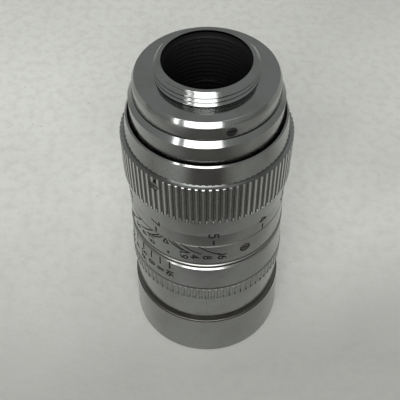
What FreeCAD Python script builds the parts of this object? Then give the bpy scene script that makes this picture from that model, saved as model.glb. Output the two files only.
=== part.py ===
"""Telephoto lens for a small cine camera, standing on its front rim with the mount thread up.

+Z is the optical axis, from the front rim towards the camera mount. The origin is the centre of the
front rim. The index of both scales lies left of the front, and an azimuth is the angle about +Z
measured from the front, -Y, towards +X. Lengths are in millimetres and angles in degrees.
"""
import FreeCAD, Part
import math
import os
import re
import Sketcher

SIZES = {
    # fits and small edges
    "screw_fit": 0.02,
    "running_fit": 0.04,
    "end_play": 0.05,
    "edge_break": 0.2,
    "glass_gap": 0.05,
    # radius that the barrels, rings and optics take theirs from
    "focus_flute_radius": 13.97,
    # front ring, which the lens stands on
    "front_rim_radius": 14.3,
    "front_ring_top_radius": 14.0,
    "front_ring_height": 10.5,
    "filter_radius": 12.9,
    "filter_depth": 3.4,
    # main barrel
    "nose_step": 0.2,
    "nose_setback": 0.5,
    "barrel_wall": 0.8,
    "flange_overhang": 0.13,
    "flange_height": 6.0,
    "chamber_floor": 20.6,
    # optics: edge radius, centre thickness, surface radii and air spaces
    "front_lens_setback": 4.8,
    "front_lens_wall": 1.1,
    "front_lens_thickness": 4.5,
    "front_lens_front_curve": 24.0,
    "front_lens_rear_curve": 90.0,
    "front_lens_seat_width": 0.8,
    "second_lens_gap": 0.4,
    "second_lens_thickness": 3.6,
    "second_lens_front_curve": 20.0,
    "second_lens_rear_curve": 36.0,
    "lens_web": 0.65,
    "lens_web_lip": 0.6,
    "third_lens_step": 1.6,
    "third_lens_thickness": 1.2,
    "third_lens_front_curve": 60.0,
    "third_lens_rear_curve": 20.0,
    "rear_lens_radius": 7.4,
    "rear_lens_thickness": 3.6,
    "rear_lens_front_curve": 18.0,
    "rear_lens_rear_curve": 30.0,
    "retainer_lip": 0.75,
    "retainer_height": 1.1,
    # iris
    "iris_plate_width": 5.5,
    "iris_plate_thickness": 0.8,
    "blade_count": 8,
    "blade_thickness": 0.12,
    "blade_pitch": 0.2,
    "blade_clearance": 0.1,
    "blade_width": 2.25,
    "blade_arc": 122.0,
    "blade_pivot_inset": 2.5,
    "blade_closed_opening": 0.71,
    "blade_pin_radius": 0.25,
    "blade_arm": 2.7,
    "blade_arm_angle": 58.0,
    "cam_slot_width": 0.8,
    "cam_ring_thickness": 1.2,
    "iris_gap": 0.15,
    # aperture ring
    "aperture_collar_inset": 0.5,
    "aperture_collar_height": 0.9,
    "aperture_ring_height": 15.95,
    "aperture_foot_inset": 0.5,
    "aperture_flute_rise": 0.1,
    "aperture_flute_bottom": 6.9,
    "aperture_flute_height": 2.9,
    "aperture_flute_depth": 0.22,
    "aperture_flute_count": 80,
    "aperture_groove_width": 0.35,
    "aperture_groove_depth": 0.4,
    "aperture_band_taper": 0.25,
    "aperture_ring_wall": 1.25,
    "aperture_travel": 60.0,
    "drive_screw_radius": 0.4,
    "drive_screw_azimuth": 140.0,
    "detent_radius": 0.3,
    "detent_depth": 0.12,
    "click_spring_thickness": 0.15,
    "click_spring_height": 2.6,
    "click_spring_arc": 26.0,
    "click_spring_azimuth": -160.0,
    # depth-of-field ring
    "scale_ring_gap": 0.5,
    "scale_ring_wall": 0.47,
    "scale_ring_bead_rise": 0.15,
    "scale_ring_bead_height": 0.4,
    "scale_screw_radius": 0.75,
    "scale_screw_length": 0.95,
    "scale_screw_azimuth": 28.5,
    "scale_screw_drop": 2.2,
    # rear barrel and rear lens seat
    "spigot_length": 5.5,
    "bearing_shoulder": 0.2,
    "bearing_height": 5.95,
    "bearing_nut_seat": 0.6,
    "bearing_nut_overhang": 0.3,
    "bearing_nut_height": 1.2,
    "guide_step": 1.5,
    "guide_height": 9.25,
    "guide_wall": 1.6,
    "rear_seat_opening": 6.9,
    "rear_seat_height": 1.7,
    "rear_seat_depth": 1.25,
    # focusing helicoid and focus ring
    "helicoid_bearing_wall": 1.15,
    "helicoid_thread_wall": 0.75,
    "helicoid_height": 16.65,
    "focus_gap": 0.2,
    "focus_ring_height": 18.25,
    "focus_ring_wall": 1.12,
    "focus_skirt_inset": 0.49,
    "focus_skirt_height": 2.7,
    "focus_cone_inset": 0.17,
    "focus_flute_bottom": 6.65,
    "focus_flute_height": 7.9,
    "focus_flute_depth": 0.25,
    "focus_flute_count": 84,
    "focus_step_inset": 0.62,
    "focus_collar_inset": 1.17,
    "focus_mouth_wall": 0.3,
    "focus_mouth_depth": 1.6,
    "focus_screw_radius": 0.8,
    "focus_screw_azimuth": -35.2,
    "focus_screw_drop": 5.6,
    "focus_near_angle": 100.0,
    "focus_far_angle": 114.7,
    "focus_lead": 2.35,
    "stop_pin_radius": 0.4,
    "stop_groove_depth": 0.8,
    "stop_pin_azimuth": 170.0,
    # rear tube and mount
    "rear_tube_clearance": 1.25,
    "rear_tube_height": 14.05,
    "rear_tube_chamfer": 0.85,
    "rear_tube_chamfer_width": 0.65,
    "rear_tube_ceiling": 9.6,
    "spindle_step": 1.1,
    "spindle_height": 2.35,
    "mount_wall_inset": 0.8,
    "mount_wall_height": 2.15,
    "flange_bevel": 0.4,
    "flange_face_height": 3.1,
    "thread_radius": 7.9375,
    "thread_length": 2.4,
    "thread_relief_depth": 0.3875,
    "thread_relief_height": 0.4,
    "thread_chamfer": 0.5,
    "thread_undercut_width": 0.1,
    "thread_undercut_depth": 0.1,
    "mount_opening": 6.8,
    "mount_lip": 0.4,
    "mount_bore": 7.25,
    "mount_screw_radius": 0.68,
    "mount_screw_azimuth": 18.3,
    "mount_screw_rise": 1.05,
    "baffle_radius": 7.6,
    "baffle_depth": 5.6,
    "baffle_crest_radius": 6.75,
    "baffle_ridge_depth": 0.28,
    "baffle_ridge_pitch": 0.8,
    "key_screw_radius": 0.9,
    "key_screw_length": 2.7,
    "key_screw_azimuth": 180.0,
    "key_slot_margin": 0.25,
    "screw_slot_width": 0.28,
    "screw_slot_depth": 0.3,
}

OUTSIDE = 1.0         # how far a cutting tool reaches past the surface that it cuts
CREST_CLEAR = 0.05    # how far the flutes' cutting tool stays off their crests
CREST_SHARE = 0.3     # share of a flute's pitch that its crest takes
TURN = 360.0
SCREWS_IN_ROW = 3     # screws spaced evenly round each ring
SLOT_STEPS = 12       # stretches that a cam slot's walls are drawn through
F_NUMBERS = [16, 11, 8, 5.6, 4, 2.8, 1.9]


class Size:
    """A size with both its number and the sheet expression that it comes from."""

    def __init__(self, value, text):
        self.value = value
        self.text = text

    def __add__(self, other):
        other = as_size(other)
        return Size(self.value + other.value, f"({self.text} + {other.text})")

    def __sub__(self, other):
        other = as_size(other)
        return Size(self.value - other.value, f"({self.text} - {other.text})")

    def __mul__(self, other):
        other = as_size(other)
        return Size(self.value * other.value, f"({self.text} * {other.text})")

    def __truediv__(self, other):
        other = as_size(other)
        return Size(self.value / other.value, f"({self.text} / {other.text})")

    def __neg__(self):
        return Size(-self.value, f"(-1 * {self.text})")

    __radd__ = __add__
    __rmul__ = __mul__


def as_size(number):
    """Plain numbers take part in expressions as themselves."""
    return number if isinstance(number, Size) else Size(float(number), repr(float(number)))


def root(size):
    return Size(math.sqrt(size.value), f"sqrt({size.text})")


def sine(angle):
    angle = as_size(angle)
    return Size(math.sin(math.radians(angle.value)), f"sin({angle.text})")


def cosine(angle):
    angle = as_size(angle)
    return Size(math.cos(math.radians(angle.value)), f"cos({angle.text})")


def sag(curve, radius):
    """Height of a spherical surface over its vertex, at a radius from the axis."""
    return curve - root(curve * curve - radius * radius)


doc = FreeCAD.newDocument("TelephotoLens")
sheet = doc.addObject("Spreadsheet::Sheet", "Dims")


class Dimensions:
    """The sheet's values by alias."""


S = Dimensions()
for row, (alias, number) in enumerate(SIZES.items(), start=1):
    sheet.set(f"A{row}", alias)
    sheet.set(f"B{row}", str(number))
    sheet.setAlias(f"B{row}", alias)
    setattr(S, alias, Size(float(number), f"Dims.{alias}"))
doc.recompute()

# radii, each from the piece that it fits in or on
S.focus_skirt_radius = S.focus_flute_radius - S.focus_skirt_inset
S.focus_skirt_top_radius = S.focus_flute_radius - S.focus_cone_inset
S.focus_step_radius = S.focus_flute_radius - S.focus_step_inset
S.focus_collar_radius = S.focus_flute_radius - S.focus_collar_inset
S.focus_mouth_radius = S.focus_collar_radius - S.focus_mouth_wall
S.helicoid_radius = S.focus_flute_radius - S.focus_ring_wall
S.rear_tube_radius = S.helicoid_radius - S.helicoid_thread_wall
S.rear_tube_top_radius = S.rear_tube_radius - S.rear_tube_chamfer_width
S.mount_wall_radius = S.rear_tube_radius - S.mount_wall_inset
S.flange_face_radius = S.mount_wall_radius - S.flange_bevel
S.spindle_radius = S.mount_wall_radius - S.spindle_step
S.thread_relief_radius = S.thread_radius - S.thread_relief_depth
S.thread_undercut_radius = S.thread_radius + S.thread_undercut_width
S.bearing_radius = S.helicoid_radius - S.helicoid_bearing_wall
S.bearing_thread_radius = S.bearing_radius - S.bearing_nut_seat
S.bearing_nut_radius = S.bearing_radius + S.bearing_nut_overhang
S.guide_radius = S.bearing_radius - S.guide_step
S.guide_bore = S.guide_radius - S.guide_wall
S.chamber_radius = S.bearing_radius - S.bearing_shoulder
S.journal_radius = S.chamber_radius + S.barrel_wall
S.nose_radius = S.journal_radius - S.nose_step
S.flange_radius = S.helicoid_radius + S.flange_overhang
S.scale_ring_radius = S.flange_radius + S.scale_ring_wall
S.scale_ring_bead_radius = S.scale_ring_radius + S.scale_ring_bead_rise
S.aperture_band_top_radius = S.journal_radius + S.aperture_ring_wall
S.aperture_band_bottom_radius = S.aperture_band_top_radius + S.aperture_band_taper
S.aperture_flute_radius = S.aperture_band_bottom_radius + S.aperture_flute_rise
S.aperture_groove_radius = S.aperture_band_bottom_radius - S.aperture_groove_depth
S.aperture_foot_radius = S.aperture_flute_radius - S.aperture_foot_inset
S.aperture_collar_radius = S.aperture_foot_radius - S.aperture_collar_inset
S.front_lens_radius = S.nose_radius - S.front_lens_wall
S.second_lens_radius = S.front_lens_radius - S.front_lens_seat_width
S.third_lens_radius = S.second_lens_radius - S.third_lens_step
S.lens_web_opening = S.third_lens_radius - S.lens_web_lip
S.iris_opening = S.chamber_radius - S.iris_plate_width
S.blade_inner_radius = S.iris_opening + S.blade_clearance
S.blade_pivot_radius = S.chamber_radius - S.blade_pivot_inset

pieces = []


def finish(item, label):
    """Name a finished piece and keep it for export."""
    item.Label = label
    pieces.append(item)
    return item


def bind(item, **sizes):
    """Set an object's properties and bind each one to the sheet."""
    for name, size in sizes.items():
        size = as_size(size)
        setattr(item, name, size.value)
        item.setExpression(name, size.text)


def place(item, position, rotation=None):
    """Place an object and bind its position to the sheet."""
    position = [as_size(part) for part in position]
    base = FreeCAD.Vector(*[part.value for part in position])
    item.Placement = FreeCAD.Placement(base, rotation or FreeCAD.Rotation())
    for axis, part in zip("xyz", position):
        item.setExpression(f".Placement.Base.{axis}", part.text)


def about_axis(angle):
    return FreeCAD.Rotation(FreeCAD.Vector(0, 0, 1), angle)


def across(radius, azimuth):
    """X and Y of a point at a radius and an azimuth."""
    return [radius * sine(azimuth), -(radius * cosine(azimuth))]


def radially(azimuth):
    """Turn an object's own Z axis to point straight out at an azimuth."""
    turn = math.radians(azimuth)
    outward = FreeCAD.Vector(math.sin(turn), -math.cos(turn), 0)
    upward = FreeCAD.Vector(0, 0, 1)
    return FreeCAD.Rotation(outward.cross(upward), upward, outward, "ZXY")


def cylinder(name, radius, height, position=(0, 0, 0), rotation=None, arc=TURN):
    item = doc.addObject("Part::Cylinder", name)
    bind(item, Radius=radius, Height=height, Angle=arc)
    place(item, position, rotation)
    return item


def box(name, length, width, height, position, rotation=None):
    item = doc.addObject("Part::Box", name)
    bind(item, Length=length, Width=width, Height=height)
    place(item, position, rotation)
    return item


def sphere(name, radius, position):
    item = doc.addObject("Part::Sphere", name)
    bind(item, Radius=radius)
    place(item, position)
    return item


def cut(name, base, tool):
    item = doc.addObject("Part::Cut", name)
    item.Base = base
    item.Tool = tool
    return item


def common(name, base, tool):
    item = doc.addObject("Part::Common", name)
    item.Base = base
    item.Tool = tool
    return item


def fused(name, items):
    item = doc.addObject("Part::MultiFuse", name)
    item.Shapes = items
    return item


def together(name, items):
    item = doc.addObject("Part::Compound", name)
    item.Links = items
    return item


def turned(name, outline):
    """Turn a closed outline of (radius, height) points about the optical axis."""
    body = doc.addObject("PartDesign::Body", name)
    sketch = body.newObject("Sketcher::SketchObject", name + "_outline")
    planes = {plane.Role: plane for plane in body.Origin.OriginFeatures}
    sketch.AttachmentSupport = (planes["XZ_Plane"], [""])
    sketch.MapMode = "FlatFace"
    corners = [(as_size(radius), as_size(height)) for radius, height in outline]
    points = [FreeCAD.Vector(radius.value, height.value, 0) for radius, height in corners]
    count = len(points)
    sketch.addGeometry([Part.LineSegment(points[i], points[(i + 1) % count]) for i in range(count)])
    rules = [Sketcher.Constraint("Coincident", i, 2, (i + 1) % count, 1) for i in range(count)]
    bound = []
    for i, (radius, height) in enumerate(corners):
        for kind, size, axis in (("DistanceX", radius, -2), ("DistanceY", height, -1)):
            if size.value == 0.0:
                rules.append(Sketcher.Constraint("PointOnObject", i, 1, axis))
            else:
                bound.append((len(rules), size.text))
                rules.append(Sketcher.Constraint(kind, -1, 1, i, 1, size.value))
    sketch.addConstraint(rules)
    for index, text in bound:
        sketch.setExpression(f"Constraints[{index}]", text)
    solid = body.newObject("PartDesign::Revolution", name + "_turned")
    solid.Profile = sketch
    solid.ReferenceAxis = (sketch, ["V_Axis"])
    solid.Angle = TURN
    sketch.Visibility = False
    return body


def tube(name, inner, outer, bottom, top):
    return turned(name, [(inner, bottom), (outer, bottom), (outer, top), (inner, top)])


def sector(name, inner, outer, bottom, height, azimuth, arc):
    """Part of a tube's wall, centred on an azimuth."""
    start = about_axis(as_size(azimuth).value - 90.0 - as_size(arc).value / 2)
    outside = cylinder(name + "_outside", outer, height, (0, 0, bottom), start, arc)
    inside = cylinder(name + "_inside", inner, height + 2 * OUTSIDE, (0, 0, bottom - OUTSIDE))
    return cut(name, outside, inside)


def even_azimuths(first, count):
    return [first + i * TURN / count for i in range(count)]


def radial_holes(name, radius, inner, outer, height, first_azimuth):
    """Cutting tools for a row of radial holes."""
    holes = []
    for i, azimuth in enumerate(even_azimuths(first_azimuth, SCREWS_IN_ROW)):
        start = across(inner, azimuth) + [height]
        holes.append(cylinder(f"{name}_{i}", radius, outer - inner, start, radially(azimuth.value)))
    return together(name, holes)


def slotted_screw(name, radius, tip, head, height, azimuth):
    """A headless slotted screw from its tip radius to its head radius."""
    length = head - tip
    shank = cylinder(name + "_shank", radius, length)
    slot_floor = length - S.screw_slot_depth
    corner = (-radius - OUTSIDE, -(S.screw_slot_width / 2), slot_floor)
    slot = box(name + "_slot", 2 * radius + 2 * OUTSIDE, S.screw_slot_width,
               S.screw_slot_depth + OUTSIDE, corner)
    screw = cut(name, shank, slot)
    place(screw, across(tip, azimuth) + [height], radially(as_size(azimuth).value))
    return screw


def screw_row(label, radius, tip, head, height, first_azimuth):
    row_azimuths = even_azimuths(first_azimuth, SCREWS_IN_ROW)
    screws = [slotted_screw(f"{label}_{i}", radius, tip, head, height, azimuth)
              for i, azimuth in enumerate(row_azimuths)]
    return finish(together(label + "_row", screws), label)


def flute_cutter(name, radius, depth, count, bottom, height):
    """The space outside a fluted band: round valleys with narrow crests between them."""
    reach = radius.value + CREST_CLEAR
    pitch = math.radians(TURN / count)
    half_valley = pitch * (1 - CREST_SHARE) / 2

    def on_circle(distance, angle):
        return FreeCAD.Vector(distance * math.cos(angle), distance * math.sin(angle), 0)

    edges = []
    for i in range(count):
        middle = i * pitch
        start, end = middle - half_valley, middle + half_valley
        floor = on_circle(radius.value - depth.value, middle)
        edges.append(Part.Arc(on_circle(reach, start), floor, on_circle(reach, end)).toShape())
        crest = on_circle(reach, middle + pitch / 2)
        next_start = on_circle(reach, start + pitch)
        edges.append(Part.Arc(on_circle(reach, end), crest, next_start).toShape())
    toothed = Part.Face(Part.Wire(edges))
    outside = Part.Face(Part.Wire([Part.Circle(FreeCAD.Vector(), FreeCAD.Vector(0, 0, 1),
                                               reach + OUTSIDE).toShape()]))
    space = outside.cut(toothed).extrude(FreeCAD.Vector(0, 0, height.value))
    item = doc.addObject("Part::Feature", name)
    item.Shape = space
    place(item, (0, 0, bottom))
    return item


# heights of the joints between the pieces, from the front rim up
front_ring_top = S.front_ring_height
collar_bottom = front_ring_top + S.end_play
aperture_bottom = front_ring_top + S.aperture_collar_height + 2 * S.end_play
aperture_top = aperture_bottom + S.aperture_ring_height
shoulder = aperture_top + 2 * S.end_play
barrel_top = shoulder + S.flange_height
nose_end = S.filter_depth + S.nose_setback
front_lens_rear = S.front_lens_setback + S.front_lens_thickness
front_lens_seat = front_lens_rear - sag(S.front_lens_rear_curve, S.second_lens_radius)
second_lens_front = front_lens_rear + S.second_lens_gap
second_lens_rear = second_lens_front + S.second_lens_thickness
second_lens_seat = second_lens_rear + sag(S.second_lens_rear_curve, S.second_lens_radius)
third_lens_seat = second_lens_seat + S.lens_web
third_lens_front = third_lens_seat + sag(S.third_lens_front_curve, S.third_lens_radius)
third_lens_rear = third_lens_front + S.third_lens_thickness
third_lens_edge = third_lens_rear + sag(S.third_lens_rear_curve, S.third_lens_radius)
plate_top = S.chamber_floor + S.iris_plate_thickness
blades_bottom = plate_top + S.iris_gap
blades_top = blades_bottom + S.blade_pitch * S.blade_count
cam_bottom = blades_top + S.iris_gap
cam_top = cam_bottom + S.cam_ring_thickness
drive_height = cam_bottom + S.cam_ring_thickness / 2
bearing_top = barrel_top + S.bearing_height
nut_bottom = bearing_top + S.end_play
nut_top = bearing_top + S.bearing_nut_height
guide_top = nut_top + S.guide_height
helicoid_bottom = barrel_top + 2 * S.end_play
focus_bottom = barrel_top + S.focus_gap
focus_top = focus_bottom + S.focus_ring_height
focus_flute_bottom = focus_bottom + S.focus_flute_bottom
focus_flute_top = focus_flute_bottom + S.focus_flute_height
rear_tube_bottom = nut_top + S.rear_tube_clearance
rear_tube_top = rear_tube_bottom + S.rear_tube_height
mount_bottom = rear_tube_top + S.end_play
flange_face = mount_bottom + S.flange_face_height
mount_top = flange_face + S.thread_length
spindle_top = rear_tube_top + S.spindle_height


def lens(label, radius, front, rear, front_curve, rear_curve, front_convex, rear_convex):
    """A lens element between two vertices. A convex surface bulges out of the glass."""
    bottom = front if front_convex else front - sag(front_curve, radius)
    top = rear if rear_convex else rear + sag(rear_curve, radius)
    glass = cylinder(label + "_edge", radius, top - bottom, (0, 0, bottom))
    front_centre = front + front_curve if front_convex else front - front_curve
    front_ball = sphere(label + "_front", front_curve, (0, 0, front_centre))
    shaped = (common if front_convex else cut)(label + "_shaped", glass, front_ball)
    rear_centre = rear - rear_curve if rear_convex else rear + rear_curve
    rear_ball = sphere(label + "_rear", rear_curve, (0, 0, rear_centre))
    return finish((common if rear_convex else cut)(label + "_glass", shaped, rear_ball), label)


def front_ring():
    inner = S.nose_radius + S.screw_fit
    blank = turned("front_ring_body", [
        (S.filter_radius + S.edge_break, 0),
        (S.front_rim_radius - S.edge_break, 0),
        (S.front_rim_radius, S.edge_break),
        (S.front_ring_top_radius, front_ring_top - S.edge_break),
        (S.front_ring_top_radius - S.edge_break, front_ring_top),
        (inner, front_ring_top),
        (inner, S.filter_depth),
        (S.filter_radius, S.filter_depth),
        (S.filter_radius, S.edge_break),
    ])
    finish(blank, "front_ring")


def main_barrel():
    third_bore = S.third_lens_radius + S.screw_fit
    second_bore = S.second_lens_radius + S.screw_fit
    front_bore = S.front_lens_radius + S.screw_fit
    blank = turned("main_barrel_blank", [
        (front_bore, nose_end),
        (S.nose_radius, nose_end),
        (S.nose_radius, aperture_bottom - S.end_play),
        (S.journal_radius, aperture_bottom - S.end_play),
        (S.journal_radius, shoulder),
        (S.flange_radius, shoulder),
        (S.flange_radius, barrel_top),
        (S.chamber_radius, barrel_top),
        (S.chamber_radius, S.chamber_floor),
        (third_bore, S.chamber_floor),
        (third_bore, third_lens_seat),
        (S.lens_web_opening, third_lens_seat),
        (S.lens_web_opening, second_lens_seat),
        (second_bore, second_lens_seat),
        (second_bore, front_lens_seat),
        (front_bore, front_lens_seat),
    ])
    screw_room = S.drive_screw_radius + S.running_fit
    screw_arc = Size(math.degrees(2 * screw_room.value / S.chamber_radius.value),
                     f"({(2 * screw_room / S.chamber_radius).text} * 180 / pi)")
    drive_slot = sector("drive_slot", S.chamber_radius - OUTSIDE, S.journal_radius + OUTSIDE,
                        drive_height - screw_room, 2 * screw_room,
                        S.drive_screw_azimuth + S.aperture_travel / 2,
                        S.aperture_travel + 1.5 * screw_arc)
    spring_pocket = sector("spring_pocket", spring_inner() - S.running_fit,
                           S.journal_radius + OUTSIDE, spring_bottom() - S.end_play,
                           S.click_spring_height + 2 * S.end_play, S.click_spring_azimuth,
                           S.click_spring_arc + 1)
    room = S.stop_pin_radius + S.end_play
    pin_arc = Size(math.degrees(2 * room.value / stop_radius().value),
                   f"({(2 * room / stop_radius()).text} * 180 / pi)")
    swing_middle = S.stop_pin_azimuth + (S.focus_far_angle - S.focus_near_angle) / 2
    stop_groove = sector("stop_groove", stop_radius() - room, stop_radius() + room,
                         barrel_top - S.stop_groove_depth, S.stop_groove_depth + OUTSIDE,
                         swing_middle, S.focus_near_angle + S.focus_far_angle + 1.5 * pin_arc)
    screw_holes = radial_holes("scale_screw_holes", S.scale_screw_radius + S.screw_fit,
                               S.scale_ring_radius - S.scale_screw_length - S.end_play,
                               S.flange_radius + OUTSIDE, scale_screw_height(),
                               S.scale_screw_azimuth)
    tools = together("main_barrel_tools", [drive_slot, spring_pocket, stop_groove, screw_holes])
    finish(cut("main_barrel_cut", blank, tools), "main_barrel")


def spring_inner():
    return S.journal_radius - S.click_spring_thickness - 2 * S.detent_radius + S.detent_depth


def spring_bottom():
    return third_lens_seat


def stop_radius():
    """Radius of the focus stop pin, in the middle of the helicoid's wall."""
    return (S.bearing_radius + S.helicoid_radius) / 2


def scale_screw_height():
    return barrel_top - S.scale_screw_drop


def optics():
    lens("front_lens", S.front_lens_radius, S.front_lens_setback, front_lens_rear,
         S.front_lens_front_curve, S.front_lens_rear_curve, True, True)
    ring_inner = S.front_lens_radius - S.retainer_lip
    ring_top = (S.front_lens_setback + sag(S.front_lens_front_curve, ring_inner)
                - S.glass_gap)
    finish(tube("front_retainer_body", ring_inner, S.front_lens_radius,
                ring_top - S.retainer_height, ring_top), "front_retaining_ring")
    spacer_inner = S.second_lens_radius - S.retainer_lip
    spacer_bottom = (front_lens_rear - sag(S.front_lens_rear_curve, spacer_inner)
                     + S.glass_gap)
    spacer_top = (second_lens_front + sag(S.second_lens_front_curve, spacer_inner)
                  - S.glass_gap)
    finish(tube("front_spacer_body", spacer_inner, S.second_lens_radius,
                spacer_bottom, spacer_top), "front_spacer")
    lens("second_lens", S.second_lens_radius, second_lens_front, second_lens_rear,
         S.second_lens_front_curve, S.second_lens_rear_curve, True, False)
    lens("third_lens", S.third_lens_radius, third_lens_front, third_lens_rear,
         S.third_lens_front_curve, S.third_lens_rear_curve, False, False)
    third_ring_bottom = third_lens_edge + S.glass_gap
    finish(tube("third_ring_body", S.third_lens_radius - S.retainer_lip, S.third_lens_radius,
                third_ring_bottom, third_ring_bottom + S.retainer_height),
           "third_lens_retaining_ring")


def iris_fixed_parts():
    plate_radius = S.chamber_radius - S.running_fit
    blank = tube("iris_plate_blank", S.iris_opening, plate_radius, S.chamber_floor, plate_top)
    holes = []
    for i, angle in enumerate(blade_angles()):
        position = (S.blade_pivot_radius * cosine(angle), S.blade_pivot_radius * sine(angle),
                    S.chamber_floor - OUTSIDE)
        holes.append(cylinder(f"pivot_hole_{i}", S.blade_pin_radius + S.running_fit,
                              S.iris_plate_thickness + 2 * OUTSIDE, position))
    finish(cut("iris_plate_cut", blank, together("pivot_holes", holes)), "iris_base_plate")
    nut_start = cam_top + S.iris_gap
    finish(tube("cam_nut_body", S.guide_bore, plate_radius, nut_start,
                nut_start + S.retainer_height), "cam_retaining_ring")


def blade_angles():
    count = int(S.blade_count.value)
    return [i * TURN / count for i in range(count)]


def blade_swing():
    """Angle that a blade turns through between wide open and its smallest opening."""
    shift = S.blade_inner_radius.value - S.blade_closed_opening.value
    return math.degrees(2 * math.asin(shift / (2 * S.blade_pivot_radius.value)))


def iris_blade(number, angle):
    """One blade: a crescent, its pivot pin below and its drive pin above, closed at rest.

    The blade's own origin is its pivot, so the crescent's centre is one pivot radius inwards.
    """
    name = f"iris_blade_{number}"
    thickness = S.blade_thickness
    outer = S.blade_inner_radius + S.blade_width
    centre = (-S.blade_pivot_radius, 0, 0)
    arc_start = about_axis(-S.blade_arc.value)
    disc = cylinder(name + "_disc", outer, thickness, centre, arc_start, S.blade_arc)
    opening = cylinder(name + "_opening", S.blade_inner_radius, thickness + 2 * OUTSIDE,
                       (-S.blade_pivot_radius, 0, -OUTSIDE))
    crescent = cut(name + "_crescent", disc, opening)
    middle = S.blade_inner_radius + S.blade_width / 2
    tip = cylinder(name + "_tip", S.blade_width / 2, thickness,
                   (middle * cosine(S.blade_arc) - S.blade_pivot_radius,
                    -(middle * sine(S.blade_arc)), 0))
    tab_width = 4 * S.blade_pin_radius
    pivot_tab = cylinder(name + "_pivot_tab", tab_width / 2, thickness)
    neck_length = S.blade_pivot_radius - middle
    neck = box(name + "_neck", neck_length, tab_width, thickness,
               (-neck_length, -(tab_width / 2), 0))
    arm_turn = about_axis(-S.blade_arm_angle.value)
    arm_x = S.blade_arm * cosine(S.blade_arm_angle)
    arm_y = -(S.blade_arm * sine(S.blade_arm_angle))
    half = tab_width / 2
    arm = box(name + "_arm", S.blade_arm, tab_width, thickness,
              (-(half * sine(S.blade_arm_angle)), -(half * cosine(S.blade_arm_angle)), 0),
              arm_turn)
    arm_tab = cylinder(name + "_arm_tab", half, thickness, (arm_x, arm_y, 0))
    level = blades_bottom + S.blade_pitch * number
    pivot_reach = level - S.chamber_floor - S.iris_gap
    pivot_pin = cylinder(name + "_pivot_pin", S.blade_pin_radius, pivot_reach + thickness,
                         (0, 0, -pivot_reach))
    drive_reach = cam_top - level - S.iris_gap
    drive_pin = cylinder(name + "_drive_pin", S.blade_pin_radius, drive_reach,
                         (arm_x, arm_y, 0))
    blade = fused(name + "_body", [crescent, tip, pivot_tab, neck, arm, arm_tab,
                                   pivot_pin, drive_pin])
    place(blade, (S.blade_pivot_radius * cosine(angle), S.blade_pivot_radius * sine(angle),
                  level), about_axis(angle - blade_swing()))
    finish(blade, name)


def cam_slot():
    """Cutting tool for one slot, along the path of a drive pin seen from the turning ring.

    Wide open, the drive pin stands blade_arm_angle from straight out. The blade turns by a
    constant share of the ring's turn, so the pin's place follows from the ring's angle alone.
    """
    half = S.cam_slot_width.value / 2
    height = S.cam_ring_thickness.value + 2 * OUTSIDE

    def pin_place(share):
        arm = math.radians(-S.blade_arm_angle.value - share * blade_swing())
        x = S.blade_pivot_radius.value + S.blade_arm.value * math.cos(arm)
        y = S.blade_arm.value * math.sin(arm)
        turn = math.radians(-(1 - share) * S.aperture_travel.value)
        return FreeCAD.Vector(x * math.cos(turn) - y * math.sin(turn),
                              x * math.sin(turn) + y * math.cos(turn), 0)

    path = [pin_place(i / SLOT_STEPS) for i in range(SLOT_STEPS + 1)]
    curve = Part.BSplineCurve()
    curve.interpolate(path)
    first, last = curve.FirstParameter, curve.LastParameter
    left, right = [], []
    for i in range(SLOT_STEPS + 1):
        parameter = first + (last - first) * i / SLOT_STEPS
        point = curve.value(parameter)
        along = curve.tangent(parameter)[0]
        aside = FreeCAD.Vector(-along.y, along.x, 0) * half
        left.append(point + aside)
        right.append(point - aside)
    left_wall, right_wall = Part.BSplineCurve(), Part.BSplineCurve()
    left_wall.interpolate(left)
    right_wall.interpolate(right)
    end_along = curve.tangent(last)[0]
    start_along = curve.tangent(first)[0]
    far_end = Part.Arc(left[-1], path[-1] + end_along * half, right[-1])
    near_end = Part.Arc(right[0], path[0] - start_along * half, left[0])
    outline = Part.Wire(Part.__sortEdges__([part.toShape() for part in
                                            (left_wall, far_end, right_wall, near_end)]))
    return Part.Face(outline).extrude(FreeCAD.Vector(0, 0, height))


def iris_cam_ring():
    blank = tube("cam_ring_blank", S.iris_opening + S.iris_gap,
                 S.chamber_radius - 2 * S.running_fit, cam_bottom, cam_top)
    slot = cam_slot()
    slots = []
    for angle in blade_angles():
        copy = slot.copy()
        copy.rotate(FreeCAD.Vector(), FreeCAD.Vector(0, 0, 1), angle)
        slots.append(copy)
    slot_tools = doc.addObject("Part::Feature", "cam_slots")
    slot_tools.Shape = Part.makeCompound(slots)
    place(slot_tools, (0, 0, cam_bottom - OUTSIDE))
    screw_hole = cylinder("drive_screw_hole", S.drive_screw_radius + S.screw_fit, 2 * OUTSIDE,
                          across(drive_tip(), S.drive_screw_azimuth) + [drive_height],
                          radially(S.drive_screw_azimuth.value))
    tools = together("cam_ring_tools", [slot_tools, screw_hole])
    finish(cut("cam_ring_cut", blank, tools), "iris_cam_ring")


def drive_tip():
    """Radius that the drive screw reaches to, in the rim of the cam ring."""
    return S.chamber_radius - 2 * S.running_fit - S.drive_screw_radius / 2


def stop_angles():
    """Ring angles of the marked stops, f/16 to f/1.9, from the photograph's scale."""
    widest, smallest = math.log(F_NUMBERS[-1]), math.log(F_NUMBERS[0])
    return [S.aperture_travel * ((smallest - math.log(number)) / (smallest - widest))
            for number in F_NUMBERS]


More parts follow.
